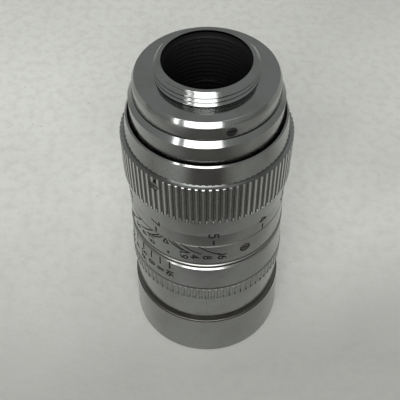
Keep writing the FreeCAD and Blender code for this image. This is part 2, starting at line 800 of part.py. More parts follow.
def aperture_ring():
    inner = S.journal_radius + S.running_fit
    flute_bottom = aperture_bottom + S.aperture_flute_bottom
    flute_top = flute_bottom + S.aperture_flute_height
    groove_top = flute_top + S.aperture_groove_width
    lip = 2.5 * S.edge_break
    blank = turned("aperture_ring_blank", [
        (inner, aperture_bottom),
        (S.aperture_foot_radius - S.edge_break, aperture_bottom),
        (S.aperture_foot_radius, aperture_bottom + S.edge_break),
        (S.aperture_flute_radius, flute_bottom),
        (S.aperture_flute_radius, flute_top - S.edge_break),
        (S.aperture_groove_radius, flute_top),
        (S.aperture_groove_radius, groove_top),
        (S.aperture_band_bottom_radius, groove_top + S.edge_break / 2),
        (S.aperture_band_top_radius, aperture_top - lip),
        (S.aperture_band_top_radius - 1.5 * S.edge_break, aperture_top),
        (inner, aperture_top),
    ])
    flutes = flute_cutter("aperture_flutes", S.aperture_flute_radius, S.aperture_flute_depth,
                          int(S.aperture_flute_count.value), flute_bottom,
                          S.aperture_flute_height)
    detents = []
    for i, angle in enumerate(stop_angles()):
        azimuth = S.click_spring_azimuth - angle
        start = across(inner - S.detent_radius + S.detent_depth, azimuth) + [spring_bottom()]
        detents.append(cylinder(f"detent_{i}", S.detent_radius, S.click_spring_height, start))
    drive_hole = cylinder("drive_screw_seat", S.drive_screw_radius + S.screw_fit, 3 * OUTSIDE,
                          across(S.journal_radius - OUTSIDE, S.drive_screw_azimuth)
                          + [drive_height], radially(S.drive_screw_azimuth.value))
    tools = together("aperture_ring_tools", [flutes, drive_hole] + detents)
    finish(cut("aperture_ring_cut", blank, tools), "aperture_ring")
    head = S.aperture_band_top_radius - S.edge_break / 2
    finish(slotted_screw("drive_screw", S.drive_screw_radius, drive_tip() + S.end_play, head,
                         drive_height, S.drive_screw_azimuth), "aperture_drive_screw")
    finish(tube("aperture_collar_body", S.nose_radius + S.screw_fit, S.aperture_collar_radius,
                collar_bottom, aperture_bottom - S.end_play), "aperture_retaining_ring")


def click_spring():
    """A curved leaf with a round bump that drops into the ring's detents."""
    inner = spring_inner()
    outer = inner + S.click_spring_thickness
    leaf = sector("click_leaf", inner, outer, spring_bottom(), S.click_spring_height,
                  S.click_spring_azimuth, S.click_spring_arc)
    bump_radius = S.journal_radius - outer + S.click_spring_thickness / 2
    middle = spring_bottom() + S.click_spring_height / 2
    bump = sphere("click_bump", bump_radius,
                  across(outer - S.click_spring_thickness / 2, S.click_spring_azimuth) + [middle])
    hollow = cylinder("click_hollow", inner + S.click_spring_thickness / 2,
                      S.click_spring_height, (0, 0, spring_bottom()))
    cap = cut("click_cap", bump, hollow)
    finish(fused("click_spring_body", [leaf, cap]), "click_spring")


def depth_of_field_ring():
    bottom = shoulder + S.scale_ring_gap - S.end_play
    inner = S.flange_radius + S.screw_fit
    bead_slope = S.scale_ring_bead_radius - S.scale_ring_radius
    blank = turned("scale_ring_blank", [
        (inner, bottom),
        (S.scale_ring_bead_radius, bottom),
        (S.scale_ring_bead_radius, bottom + S.scale_ring_bead_height - bead_slope),
        (S.scale_ring_radius, bottom + S.scale_ring_bead_height),
        (S.scale_ring_radius, barrel_top - S.edge_break / 2),
        (S.scale_ring_radius - S.edge_break / 2, barrel_top),
        (inner, barrel_top),
    ])
    holes = radial_holes("scale_ring_holes", S.scale_screw_radius + S.screw_fit,
                         S.flange_radius - OUTSIDE, S.scale_ring_radius + OUTSIDE,
                         scale_screw_height(), S.scale_screw_azimuth)
    finish(cut("scale_ring_cut", blank, holes), "depth_of_field_ring")
    screw_row("scale_ring_screws", S.scale_screw_radius,
              S.scale_ring_radius - S.scale_screw_length,
              S.scale_ring_radius - S.end_play, scale_screw_height(), S.scale_screw_azimuth)


def rear_barrel():
    spigot = S.chamber_radius - S.running_fit
    lens_bore = S.rear_lens_radius + S.screw_fit
    seat = barrel_top - S.rear_seat_depth
    key_height = key_screw_height()
    blank = turned("rear_barrel_blank", [
        (lens_bore, barrel_top - S.spigot_length),
        (spigot, barrel_top - S.spigot_length),
        (spigot, barrel_top),
        (S.bearing_radius, barrel_top),
        (S.bearing_radius, bearing_top),
        (S.bearing_thread_radius, bearing_top),
        (S.bearing_thread_radius, nut_top),
        (S.guide_radius, nut_top),
        (S.guide_radius, guide_top),
        (S.guide_bore, guide_top),
        (S.guide_bore, seat + S.rear_seat_height),
        (S.rear_seat_opening, seat + S.rear_seat_height),
        (S.rear_seat_opening, seat),
        (lens_bore, seat),
    ])
    key_hole = cylinder("key_hole", S.key_screw_radius + S.screw_fit, 4 * OUTSIDE,
                        across(S.guide_bore - OUTSIDE, S.key_screw_azimuth) + [key_height],
                        radially(S.key_screw_azimuth.value))
    finish(cut("rear_barrel_cut", blank, key_hole), "rear_barrel")
    rear_vertex = seat + sag(S.rear_lens_rear_curve, S.rear_seat_opening)
    front_vertex = rear_vertex - S.rear_lens_thickness
    lens("rear_lens", S.rear_lens_radius, front_vertex, rear_vertex,
         S.rear_lens_front_curve, S.rear_lens_rear_curve, True, True)
    ring_inner = S.rear_lens_radius - S.retainer_lip
    ring_top = front_vertex + sag(S.rear_lens_front_curve, ring_inner) - S.glass_gap
    finish(tube("rear_ring_body", ring_inner, S.rear_lens_radius,
                ring_top - S.retainer_height, ring_top), "rear_lens_retaining_ring")
    finish(tube("bearing_nut_body", S.bearing_thread_radius + S.screw_fit,
                S.bearing_nut_radius, nut_bottom, nut_top), "helicoid_retaining_ring")
    tip = S.guide_radius + S.running_fit - S.key_screw_length / 2
    head = S.rear_tube_radius - S.end_play
    finish(slotted_screw("key_screw_body", S.key_screw_radius, tip, head, key_height,
                         S.key_screw_azimuth), "key_screw")


def key_screw_height():
    return rear_tube_bottom + S.rear_tube_ceiling / 2


def helicoid():
    bearing_bore = S.bearing_radius + S.running_fit
    thread_bore = S.rear_tube_radius + S.running_fit
    lip_top = bearing_top - S.end_play / 2
    blank = turned("helicoid_blank", [
        (bearing_bore, helicoid_bottom),
        (S.helicoid_radius, helicoid_bottom),
        (S.helicoid_radius, helicoid_bottom + S.helicoid_height),
        (thread_bore, helicoid_bottom + S.helicoid_height),
        (thread_bore, lip_top),
        (bearing_bore, lip_top),
    ])
    screw_holes = radial_holes("helicoid_screw_holes", S.focus_screw_radius + S.screw_fit,
                               S.rear_tube_radius - OUTSIDE, S.helicoid_radius + OUTSIDE,
                               focus_screw_height(), S.focus_screw_azimuth)
    pin_hole = cylinder("stop_pin_hole", S.stop_pin_radius + S.screw_fit, 3 * OUTSIDE,
                        across(stop_radius(), S.stop_pin_azimuth) + [helicoid_bottom - OUTSIDE])
    tools = together("helicoid_tools", [screw_holes, pin_hole])
    finish(cut("helicoid_cut", blank, tools), "helicoid")
    pin_bottom = barrel_top - S.stop_groove_depth + S.end_play
    pin_top = helicoid_bottom + 1.9 * OUTSIDE
    finish(cylinder("stop_pin_body", S.stop_pin_radius, pin_top - pin_bottom,
                    across(stop_radius(), S.stop_pin_azimuth) + [pin_bottom]),
           "focus_stop_pin")


def focus_screw_height():
    return focus_top - S.focus_screw_drop


def focus_ring():
    inner = S.helicoid_radius + S.screw_fit
    step = focus_flute_top
    blank = turned("focus_ring_blank", [
        (inner, focus_bottom),
        (S.focus_skirt_radius, focus_bottom),
        (S.focus_skirt_radius, focus_bottom + S.focus_skirt_height),
        (S.focus_skirt_top_radius, focus_flute_bottom - S.edge_break),
        (S.focus_flute_radius, focus_flute_bottom),
        (S.focus_flute_radius, step - S.edge_break / 2),
        (S.focus_flute_radius - S.edge_break / 2, step),
        (S.focus_step_radius, step),
        (S.focus_collar_radius, focus_top - S.edge_break),
        (S.focus_collar_radius - S.edge_break, focus_top),
        (S.focus_mouth_radius, focus_top),
        (S.focus_mouth_radius, focus_top - S.focus_mouth_depth),
        (inner, focus_top - S.focus_mouth_depth),
    ])
    flutes = flute_cutter("focus_flutes", S.focus_flute_radius, S.focus_flute_depth,
                          int(S.focus_flute_count.value), focus_flute_bottom,
                          S.focus_flute_height)
    holes = radial_holes("focus_screw_holes", S.focus_screw_radius + S.screw_fit,
                         S.helicoid_radius - OUTSIDE, S.focus_flute_radius + OUTSIDE,
                         focus_screw_height(), S.focus_screw_azimuth)
    tools = together("focus_ring_tools", [flutes, holes])
    finish(cut("focus_ring_cut", blank, tools), "focus_ring")
    screw_row("focus_ring_screws", S.focus_screw_radius,
              S.rear_tube_radius + S.running_fit + S.end_play,
              S.focus_flute_radius - S.end_play, focus_screw_height(), S.focus_screw_azimuth)


def rear_tube():
    guide_bore = S.guide_radius + S.running_fit
    baffle_bore = S.baffle_radius + S.screw_fit
    ceiling = rear_tube_bottom + S.rear_tube_ceiling
    blank = turned("rear_tube_blank", [
        (guide_bore, rear_tube_bottom),
        (S.rear_tube_radius, rear_tube_bottom),
        (S.rear_tube_radius, rear_tube_top - S.rear_tube_chamfer),
        (S.rear_tube_top_radius, rear_tube_top),
        (S.spindle_radius, rear_tube_top),
        (S.spindle_radius, spindle_top),
        (baffle_bore, spindle_top),
        (baffle_bore, ceiling),
        (guide_bore, ceiling),
    ])
    width = 2 * (S.key_screw_radius + S.running_fit)
    travel = S.focus_lead * (S.focus_near_angle + S.focus_far_angle) / TURN
    length = width + travel + 2 * S.key_slot_margin
    near_share = S.focus_lead * S.focus_near_angle / TURN
    slot_bottom = key_screw_height() - width / 2 - near_share - S.key_slot_margin
    turn = about_axis(S.key_screw_azimuth.value - TURN / 2)
    outward = across(guide_bore - OUTSIDE, S.key_screw_azimuth)
    sideways = across(width / 2, S.key_screw_azimuth + TURN / 4)
    start = [out + side for out, side in zip(outward, sideways)]
    slot = box("key_slot", width, 4 * OUTSIDE, length, start + [slot_bottom], turn)
    finish(cut("rear_tube_cut", blank, slot), "rear_tube")


def mount_ring():
    socket = S.spindle_radius + S.screw_fit
    socket_top = spindle_top + S.end_play
    blank = turned("mount_ring_blank", [
        (socket, mount_bottom),
        (S.mount_wall_radius, mount_bottom),
        (S.mount_wall_radius, mount_bottom + S.mount_wall_height),
        (S.flange_face_radius, flange_face),
        (S.thread_undercut_radius, flange_face),
        (S.thread_undercut_radius, flange_face - S.thread_undercut_depth),
        (S.thread_relief_radius, flange_face - S.thread_undercut_depth),
        (S.thread_relief_radius, flange_face + S.thread_relief_height),
        (S.thread_radius, flange_face + S.thread_relief_height),
        (S.thread_radius, mount_top - S.thread_chamfer),
        (S.thread_radius - S.thread_chamfer, mount_top),
        (S.mount_opening, mount_top),
        (S.mount_opening, mount_top - S.mount_lip),
        (S.mount_bore, mount_top - S.mount_lip),
        (S.mount_bore, socket_top),
        (socket, socket_top),
    ])
    height = mount_bottom + S.mount_screw_rise
    holes = radial_holes("mount_screw_holes", S.mount_screw_radius + S.screw_fit,
                         S.spindle_radius - OUTSIDE / 2, S.mount_wall_radius + OUTSIDE,
                         height, S.mount_screw_azimuth)
    finish(cut("mount_ring_cut", blank, holes), "mount_ring")
    screw_row("mount_screws", S.mount_screw_radius, socket,
              S.mount_wall_radius - 3 * S.end_play, height, S.mount_screw_azimuth)


def rear_baffle():
    """Black tube down the bore, ridged inside to kill stray light."""
    bottom = rear_tube_bottom + S.rear_tube_ceiling - S.baffle_depth
    step = spindle_top
    top = mount_top - S.mount_lip - S.end_play
    narrow = S.mount_bore - S.screw_fit
    outline = [
        (S.baffle_crest_radius, bottom),
        (S.baffle_radius, bottom),
        (S.baffle_radius, step),
        (narrow, step),
        (narrow, top),
        (S.baffle_crest_radius, top),
    ]
    ridges = int((top - bottom - S.baffle_ridge_pitch).value / S.baffle_ridge_pitch.value)
    ridge_height = S.baffle_ridge_pitch
    tip = S.baffle_crest_radius - S.baffle_ridge_depth
    for i in range(ridges):
        start = top - ridge_height * (i + 0.5)
        outline.append((S.baffle_crest_radius, start))
        outline.append((tip, start - ridge_height / 2))
    end = top - ridge_height * (ridges + 0.5)
    outline.append((S.baffle_crest_radius, end))
    finish(turned("rear_baffle_body", outline), "rear_baffle")


def check_document():
    """Stop if any object of the document failed or any piece is not a sound solid."""
    for item in doc.Objects:
        if "Invalid" in item.State or "Error" in item.State:
            raise RuntimeError(f"{item.Name} failed: {item.State}")
    for item in pieces:
        shape = item.Shape
        if shape.isNull() or not shape.isValid() or not shape.Solids:
            raise RuntimeError(f"{item.Label} has no valid solid")


def export():
    os.makedirs("parts", exist_ok=True)
    for item in pieces:
        if not re.fullmatch(r"[a-z0-9_]+", item.Label):
            raise RuntimeError(f"{item.Label} is not a plain file name")
        item.Shape.exportStep(os.path.join("parts", item.Label + ".step"))
        print(f"{item.Label}: {len(item.Shape.Solids)} solid, {item.Shape.Volume:.1f} mm3")


front_ring()
main_barrel()
optics()
iris_fixed_parts()
for blade_number, blade_angle in enumerate(blade_angles(), start=1):
    iris_blade(blade_number, blade_angle)
iris_cam_ring()
aperture_ring()
click_spring()
depth_of_field_ring()
rear_barrel()
helicoid()
focus_ring()
rear_tube()
mount_ring()
rear_baffle()
doc.recompute()
check_document()
export()
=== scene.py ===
import math

import bmesh
import bpy
from bpy.props import FloatProperty, FloatVectorProperty, IntProperty, PointerProperty
from mathutils import Color, Matrix, Vector


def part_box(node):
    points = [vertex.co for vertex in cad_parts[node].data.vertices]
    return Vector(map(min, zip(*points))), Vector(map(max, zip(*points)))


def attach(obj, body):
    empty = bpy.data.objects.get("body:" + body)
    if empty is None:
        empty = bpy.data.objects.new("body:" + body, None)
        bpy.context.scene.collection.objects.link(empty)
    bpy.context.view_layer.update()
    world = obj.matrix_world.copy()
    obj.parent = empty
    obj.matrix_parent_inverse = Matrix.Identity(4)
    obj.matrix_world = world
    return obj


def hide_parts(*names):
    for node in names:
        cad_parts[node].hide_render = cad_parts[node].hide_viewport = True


bl_info = {
    "name": "Telephoto Lens",
    "version": (1, 0, 0),
    "blender": (4, 5, 0),
    "location": "View3D > Sidebar > Lens",
    "description": "Dresses the packed telephoto lens with its finishes, thread and scales",
    "category": "Object",
}

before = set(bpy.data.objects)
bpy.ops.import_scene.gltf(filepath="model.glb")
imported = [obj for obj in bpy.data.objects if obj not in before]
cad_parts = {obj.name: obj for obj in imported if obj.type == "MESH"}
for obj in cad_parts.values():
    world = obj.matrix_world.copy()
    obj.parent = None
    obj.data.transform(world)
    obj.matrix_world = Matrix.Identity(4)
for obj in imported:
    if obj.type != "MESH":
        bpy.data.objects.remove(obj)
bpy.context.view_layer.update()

# Sizes are in millimetres. Azimuths are in degrees and run from the front, -Y, towards +X.

MM = 0.001
INCHES = 25.4
FEET = 12 * INCHES


def node_z(node):
    """Lowest and highest point of a CAD node, in millimetres."""
    low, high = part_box(node)
    return low.z / MM, high.z / MM


def middle_z(node):
    """Height of a CAD node's middle, in millimetres."""
    return sum(node_z(node)) / 2


# where the rings stand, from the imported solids

FRONT_TOP = node_z("front_ring")[1]
APERTURE_BOTTOM, APERTURE_TOP = node_z("aperture_ring")
SCALE_BOTTOM, SCALE_TOP = node_z("depth_of_field_ring")
FOCUS_BOTTOM, FOCUS_TOP = node_z("focus_ring")
MOUNT_BOTTOM, MOUNT_TOP = node_z("mount_ring")

# the focus ring's flutes, the surfaces that carry scales, and the mount ring's wall

FLUTE_BOTTOM, FLUTE_TOP = FOCUS_BOTTOM + 6.65, FOCUS_BOTTOM + 14.55
FLUTE_VALLEY, FLUTE_CREST = 13.72, 13.97
SKIRT_RADIUS, CONE_RADIUS = 13.48, 13.8
SKIRT_TOP, CONE_TOP = FOCUS_BOTTOM + 2.7, FOCUS_BOTTOM + 6.45
SCALE_RADIUS = 13.45
BAND_FOOT, BAND_TOP = APERTURE_BOTTOM + 10.15, APERTURE_TOP - 0.4
BAND_RADIUS, BAND_TAPER = 13.8, 0.25
WALL_RADIUS = 11.3

# the index, and the focusing thread that spaces the distances

INDEX_AZIMUTH = -30.5
FOCAL_LENGTH, FOCUS_LEAD = 38.0, 2.35
FAR_AZIMUTH = INDEX_AZIMUTH - 113.5

# heights between which painted shade darkens the top of the helicoid, where it shows in the gap
# between the focus ring and the rear tube

GAP_SHADE_START, GAP_SHADE_FULL = 38.0, 41.0

# CAD nodes that share a finish

STEEL_NODES = ("scale_ring_screws", "focus_ring_screws", "key_screw",
               "aperture_drive_screw", "focus_stop_pin", "click_spring")
BLACK_NODES = ("main_barrel", "rear_barrel", "front_retaining_ring",
               "front_spacer", "third_lens_retaining_ring", "rear_lens_retaining_ring",
               "iris_base_plate", "cam_retaining_ring")
GLASS_NODES = ("front_lens", "second_lens", "third_lens", "rear_lens")
BRASS_NODES = ("helicoid", "helicoid_retaining_ring", "iris_cam_ring")

# colours of what lies on a finish or shows through it, and of painted shade and shadow

RUBBED_BLACK = (0.16, 0.155, 0.15)
BORE_BLACK, RUBBED_RIDGE = (0.004, 0.004, 0.0045), (0.12, 0.12, 0.12)
GROOVE_METAL, GROOVE_DIRT = (0.21, 0.2, 0.19), (0.11, 0.1, 0.09)
# the second colour is painted shade for the top of the helicoid, where it shows in the dark gap
# between the focus ring and the rear tube
BRASS_TARNISH, GAP_SHADE_COLOUR = (0.25, 0.17, 0.07), (0.02, 0.017, 0.013)
BLADE_STEEL, RUBBED_BLADE = (0.045, 0.045, 0.05), (0.14, 0.14, 0.15)
CLEAR_GLASS, DUSTY_GLASS = (0.97, 0.96, 1.0), (0.93, 0.95, 1.0)
GLASS_COATING = (0.75, 0.72, 1.0)
# the second colour is painted shade, in the gaps round the set screws' heads
WORN_PAINT, SCREW_GAP_SHADE = (0.1, 0.097, 0.093), (0.012, 0.01, 0.009)
TABLE_GRAIN, TABLE_SPECKS = (0.40, 0.39, 0.36), (0.2, 0.18, 0.15)
# painted shadow: the darkest colour of the shade card, which stands in for the camera's shadow on
# the table
PAINTED_SHADOW_DARK = (0.04, 0.033, 0.029)
DAYLIGHT = (0.97, 1.0, 0.98, 1)

# roughness of the two grades of plating, and how strongly the lathe's lines show in them

SATIN, SATIN_LINES = 0.21, 0.35
BRIGHT, BRIGHT_LINES = 0.13, 0.3

# noise in the plating, in features per metre

LATHE_LINES, LATHE_WAVES = 14000.0, 2600.0
WEAR_PATCHES, WEAR_BLOTCHES, PITS = 150.0, 620.0, 3300.0

# relief of the plating, in metres, and what wear and dirt add to its roughness

LINE_RELIEF, WAVE_RELIEF, WEAR_RELIEF = 0.000006, 0.000012, 0.000012
WEAR_ROUGHNESS, DIRT_ROUGHNESS = 0.12, 0.4

# turning marks on the other metals, in features per metre, and their relief in metres

TURNING, TURNING_RELIEF = 9000.0, 0.00001


class LensSizes(bpy.types.PropertyGroup):
    thread_pitch: FloatProperty(
        name="Thread pitch", description="Pitch of the mount thread, in millimetres",
        default=INCHES / 32, min=0.3)
    thread_depth: FloatProperty(
        name="Thread depth", description="Depth of the thread's groove, in millimetres",
        default=0.42, min=0.05)
    thread_groove: FloatProperty(
        name="Groove flank", description="Height of the groove's sloping flank, in millimetres",
        default=0.42, min=0.05)
    numeral_height: FloatProperty(
        name="Numeral height", description="Height of the distance numerals, in millimetres",
        default=1.55, min=0.3)
    small_numeral_height: FloatProperty(
        name="Small numeral height",
        description="Height of the aperture and depth numerals, in millimetres",
        default=1.3, min=0.3)
    stroke_width: FloatProperty(
        name="Stroke width", description="Width of an engraved stroke, in millimetres",
        default=0.3, min=0.05)
    round_segments: IntProperty(
        name="Segments", description="Segments round a turned piece", default=288, min=48)


class LensColours(bpy.types.PropertyGroup):
    chrome: FloatVectorProperty(
        name="Chrome", description="Colour of the plated rings", subtype="COLOR", size=3,
        default=(0.325, 0.333, 0.327), min=0, max=1)
    tarnish: FloatVectorProperty(
        name="Tarnish", description="Colour of the plating where it has dulled",
        subtype="COLOR", size=3, default=(0.215, 0.21, 0.198), min=0, max=1)
    # the crests' colour is partly a painted highlight, as well as their rubbing
    rubbed: FloatVectorProperty(
        name="Rubbed chrome", description="Colour of the flutes' crests", subtype="COLOR",
        size=3, default=(0.62, 0.63, 0.62), min=0, max=1)
    # grime is also the colour of the painted shade bands in the corners between rings and over
    # some edges
    grime: FloatVectorProperty(
        name="Grime", description="Colour of the dirt in the corners", subtype="COLOR",
        size=3, default=(0.05, 0.043, 0.036), min=0, max=1)
    paint: FloatVectorProperty(
        name="Scale paint", description="Colour of the paint in the engraving",
        subtype="COLOR", size=3, default=(0.004, 0.004, 0.005), min=0, max=1)
    anodised: FloatVectorProperty(
        name="Black finish", description="Colour of the blackened inner parts",
        subtype="COLOR", size=3, default=(0.012, 0.012, 0.013), min=0, max=1)
    brass: FloatVectorProperty(
        name="Brass", description="Colour of the helicoid", subtype="COLOR", size=3,
        default=(0.55, 0.38, 0.14), min=0, max=1)
    steel: FloatVectorProperty(
        name="Screw steel", description="Colour of the screws", subtype="COLOR", size=3,
        default=(0.2, 0.193, 0.18), min=0, max=1)
    floor: FloatVectorProperty(
        name="Table", description="Colour of the table top", subtype="COLOR", size=3,
        default=(0.655, 0.657, 0.622), min=0, max=1)


class LensStage(bpy.types.PropertyGroup):
    focal_pixels: FloatProperty(
        name="Focal length in pixels", description="Of the camera, for a 400 pixel frame",
        default=700.0, min=100)
    pitch: FloatProperty(
        name="Pitch", description="How far the camera looks down", subtype="ANGLE",
        default=math.radians(50.01))
    yaw: FloatProperty(
        name="Yaw", description="How far the camera looks aside", subtype="ANGLE",
        default=math.radians(-0.86))
    roll: FloatProperty(
        name="Roll", description="How far the camera is turned about its line of sight",
        subtype="ANGLE", default=math.radians(-0.63))
    window_glow: FloatProperty(
        name="Window glow", description="Radiance of the window in front", default=5.6, min=0)
    overhead_glow: FloatProperty(
        name="Overhead glow", description="Radiance of the soft light overhead",
        default=1.0, min=0)
    room_glow: FloatProperty(
        name="Room glow", description="Radiance of the room all round", default=0.36, min=0)


# node trees


class Tree:
    """A material's node tree, built from short calls."""

    def __init__(self, name):
        self.material = bpy.data.materials.new(name)
        self.material.use_nodes = True
        self.nodes = self.material.node_tree.nodes
        self.links = self.material.node_tree.links
        self.shader = self.nodes["Principled BSDF"]

    def add(self, kind, **settings):
        """A new node of a kind, with its settings."""
        node = self.nodes.new("ShaderNode" + kind)
        for key, value in settings.items():
            setattr(node, key, value)
        return node

    def link(self, source, target):
        self.links.new(source, target)

    def feed(self, value, socket):
        """A socket's value: another socket, a colour or a plain number."""
        if isinstance(value, bpy.types.NodeSocket):
            self.link(value, socket)
        elif isinstance(value, (tuple, Color)):
            socket.default_value = (*value, 1.0)
        else:
            socket.default_value = value

    def math(self, operation, a, b=0.0, c=0.0):
        """The result of a Math node, from sockets or plain numbers."""
        node = self.add("Math", operation=operation)
        for value, socket in zip((a, b, c), node.inputs):
            self.feed(value, socket)
        return node.outputs[0]

    def place(self):
        """The point in the piece's own frame, in metres."""
        return self.add("TexCoord").outputs["Object"]

    def coordinates(self):
        """x, y and z of that point."""
        split = self.add("SeparateXYZ")
        self.link(self.place(), split.inputs[0])
        return split.outputs

    def turned_place(self):
        """(radius, 0, height), which is the same all the way round a turned piece.

        The radius and the height are given apart as well.
        """
        x, y, z = self.coordinates()
        radius = self.math("SQRT", self.math("ADD", self.math("MULTIPLY", x, x),
                                             self.math("MULTIPLY", y, y)))
        join = self.add("CombineXYZ")
        self.link(radius, join.inputs[0])
        self.link(z, join.inputs[2])
        return join.outputs[0], radius, z

    def noise(self, place, scale, detail, rough=0.5):
        """Noise about 0.5, with its scale in features per metre."""
        node = self.add("TexNoise")
        self.link(place, node.inputs["Vector"])
        node.inputs["Scale"].default_value = scale
        node.inputs["Detail"].default_value = detail
        node.inputs["Roughness"].default_value = rough
        return node.outputs["Fac"]

    def ramp(self, value, low, high, to_low=0.0, to_high=1.0):
        """A smooth step from to_low, where the value is low, to to_high."""
        node = self.add("MapRange", interpolation_type="SMOOTHSTEP")
        self.feed(value, node.inputs["Value"])
        for name, number in (("From Min", low), ("From Max", high),
                             ("To Min", to_low), ("To Max", to_high)):
            node.inputs[name].default_value = number
        return node.outputs[0]

    def mix(self, share, first, second):
        """The first colour, with a share of the second in its place."""
        node = self.add("Mix", data_type="RGBA")
        for value, index in ((share, 0), (first, 6), (second, 7)):
            self.feed(value, node.inputs[index])
        return node.outputs[2]

    def band(self, z, middle, half, strength):
        """The strength at a height in millimetres, falling to 0 at half a width from it."""
        away = self.math("ABSOLUTE", self.math("SUBTRACT", z, middle * MM))
        return self.ramp(away, 0.0, half * MM, strength, 0.0)

    def bump(self, height, distance, strength=1.0, before=None):
        """A normal bent by a relief of a depth in metres, on top of another normal."""
        node = self.add("Bump")
        node.inputs["Strength"].default_value = strength
        node.inputs["Distance"].default_value = distance
        self.link(height, node.inputs["Height"])
        if before is not None:
            self.link(before, node.inputs["Normal"])
        return node.outputs[0]

    def set(self, **values):
        """Sets the shader's inputs, named with _ for a space. Returns the material."""
        for name, value in values.items():
            self.feed(value, self.shader.inputs[name.replace("_", " ")])
        return self.material


def plated(name, roughness, lines, grime_bands=(), painted_shade_bands=(), tarnish=0.45, flutes=None,
           polished_above=None):
    """Chrome plate over turned metal: fine lathe lines, dulled patches, specks, grime and painted
    shade.

    lines is the strength of the lathe lines. Each band is its middle height, its half width
    and its strength: grime is broken up by wear, and a dark band of painted shade, which
    darkens a corner between two rings or an edge's highlight, is even all the way round.
    flutes are their bottom, top, valley radius and crest radius: the valleys are darkened,
    with dirt and painted shade, and the crests are lightened, rubbed bright and with a
    painted highlight. Above the height polished_above the plating is smoother.
    """
    colours = bpy.context.scene.lens_colours
    tree = Tree(name)
    rings, radius, z = tree.turned_place()
    place = tree.place()
    fine = tree.noise(rings, LATHE_LINES, 1.0)
    broad = tree.noise(rings, LATHE_WAVES, 2.0)
    patches = tree.noise(place, WEAR_PATCHES, 4.0, 0.6)
    blotches = tree.noise(place, WEAR_BLOTCHES, 3.0, 0.65)
    specks = tree.noise(place, PITS, 1.0)
    dull = tree.ramp(patches, 0.42, 0.68, 0.0, tarnish)
    colour = tree.mix(dull, colours.chrome, colours.tarnish)
    if flutes:
        bottom, top, valley, crest = (value * MM for value in flutes)
        edge, flank = 0.1 * MM, (valley + crest) / 2
        fluted = tree.math("MULTIPLY", tree.ramp(z, bottom, bottom + edge),
                           tree.ramp(z, top - edge, top, 1.0, 0.0))
        # painted highlight: the crests are lightened, for their rubbing and for the light they
        # catch
        rubbed = tree.ramp(radius, flank, crest, 0.0, 0.75)
        colour = tree.mix(tree.math("MULTIPLY", rubbed, fluted), colour, colours.rubbed)
        # painted shade: the valleys are darkened, for their dirt and for the shade in them
        valley_shade_and_dirt = tree.ramp(radius, valley, flank, 0.5, 0.0)
        colour = tree.mix(tree.math("MULTIPLY", valley_shade_and_dirt, fluted), colour, colours.grime)
    stain = tree.ramp(blotches, 0.60, 0.78, 0.0, 0.35)
    colour = tree.mix(stain, colour, colours.tarnish)
    pits = tree.ramp(specks, 0.70, 0.78, 0.0, 0.5)
    colour = tree.mix(pits, colour, colours.grime)
    broken = tree.ramp(tree.math("MULTIPLY_ADD", patches, 0.5, blotches), 0.45, 0.95)
    dirt = tree.math("MULTIPLY", pits, 0.3)
    for band in grime_bands:
        share = tree.math("MULTIPLY", tree.band(z, *band), broken)
        dirt = tree.math("MAXIMUM", dirt, share)
    # painted shade: each dark band darkens a corner between rings or an edge's highlight with the
    # grime colour
    for band in painted_shade_bands:
        dirt = tree.math("MAXIMUM", dirt, tree.band(z, *band))
    # dirt now holds the pits, the grime and the painted shade of the dark bands
    colour = tree.mix(dirt, colour, colours.grime)
    rough = tree.math("MULTIPLY_ADD", patches, WEAR_ROUGHNESS, roughness - WEAR_ROUGHNESS / 2)
    if polished_above is not None:
        level = polished_above * MM
        rough = tree.math("SUBTRACT", rough, tree.ramp(z, level, level + 0.3 * MM, 0.0, 0.09))
    rough = tree.math("MULTIPLY_ADD", pits, DIRT_ROUGHNESS, rough)
    rough = tree.math("MULTIPLY_ADD", dirt, DIRT_ROUGHNESS, rough)
    normal = tree.bump(broad, WAVE_RELIEF * lines)
    normal = tree.bump(fine, LINE_RELIEF * lines, before=normal)
    normal = tree.bump(blotches, WEAR_RELIEF, 0.5, before=normal)
    tangent = tree.add("Tangent", direction_type="RADIAL", axis="Z")
    return tree.set(Base_Color=colour, Metallic=1.0, Roughness=rough, Normal=normal,
                    Anisotropic=0.35, Tangent=tangent.outputs[0])


def blackened(name):
    """Blackened metal with a few rubbed spots."""
    colours = bpy.context.scene.lens_colours
    tree = Tree(name)
    rings, _, _ = tree.turned_place()
    fine = tree.noise(rings, TURNING, 2.0)
    spots = tree.ramp(tree.noise(tree.place(), 2400.0, 3.0, 0.7), 0.66, 0.74, 0.0, 0.5)
    colour = tree.mix(spots, colours.anodised, RUBBED_BLACK)
    rough = tree.math("MULTIPLY_ADD", fine, 0.12, 0.42)
    return tree.set(Base_Color=colour, Metallic=0.35, Roughness=rough,
                    Normal=tree.bump(fine, TURNING_RELIEF))


def bore_black():
    """The ridged tube in the bore: a dead black with a few rubbed ridges."""
    tree = Tree("dead black, bore")
    place = tree.place()
    _, _, z = tree.coordinates()
    flecks = tree.ramp(tree.noise(place, 2600.0, 2.0, 0.6), 0.70, 0.76, 0.0, 0.6)
    colour = tree.mix(flecks, BORE_BLACK, RUBBED_RIDGE)
    height = tree.add("CombineXYZ")
    tree.link(z, height.inputs[2])
    uneven = tree.noise(height.outputs[0], 700.0, 1.0)
    rough = tree.ramp(uneven, 0.58, 0.66, 0.85, 0.24)
    return tree.set(Base_Color=colour, Roughness=rough, Specular_IOR_Level=0.13,
                    Normal=tree.bump(tree.noise(place, 2200.0, 2.0), 0.00003))


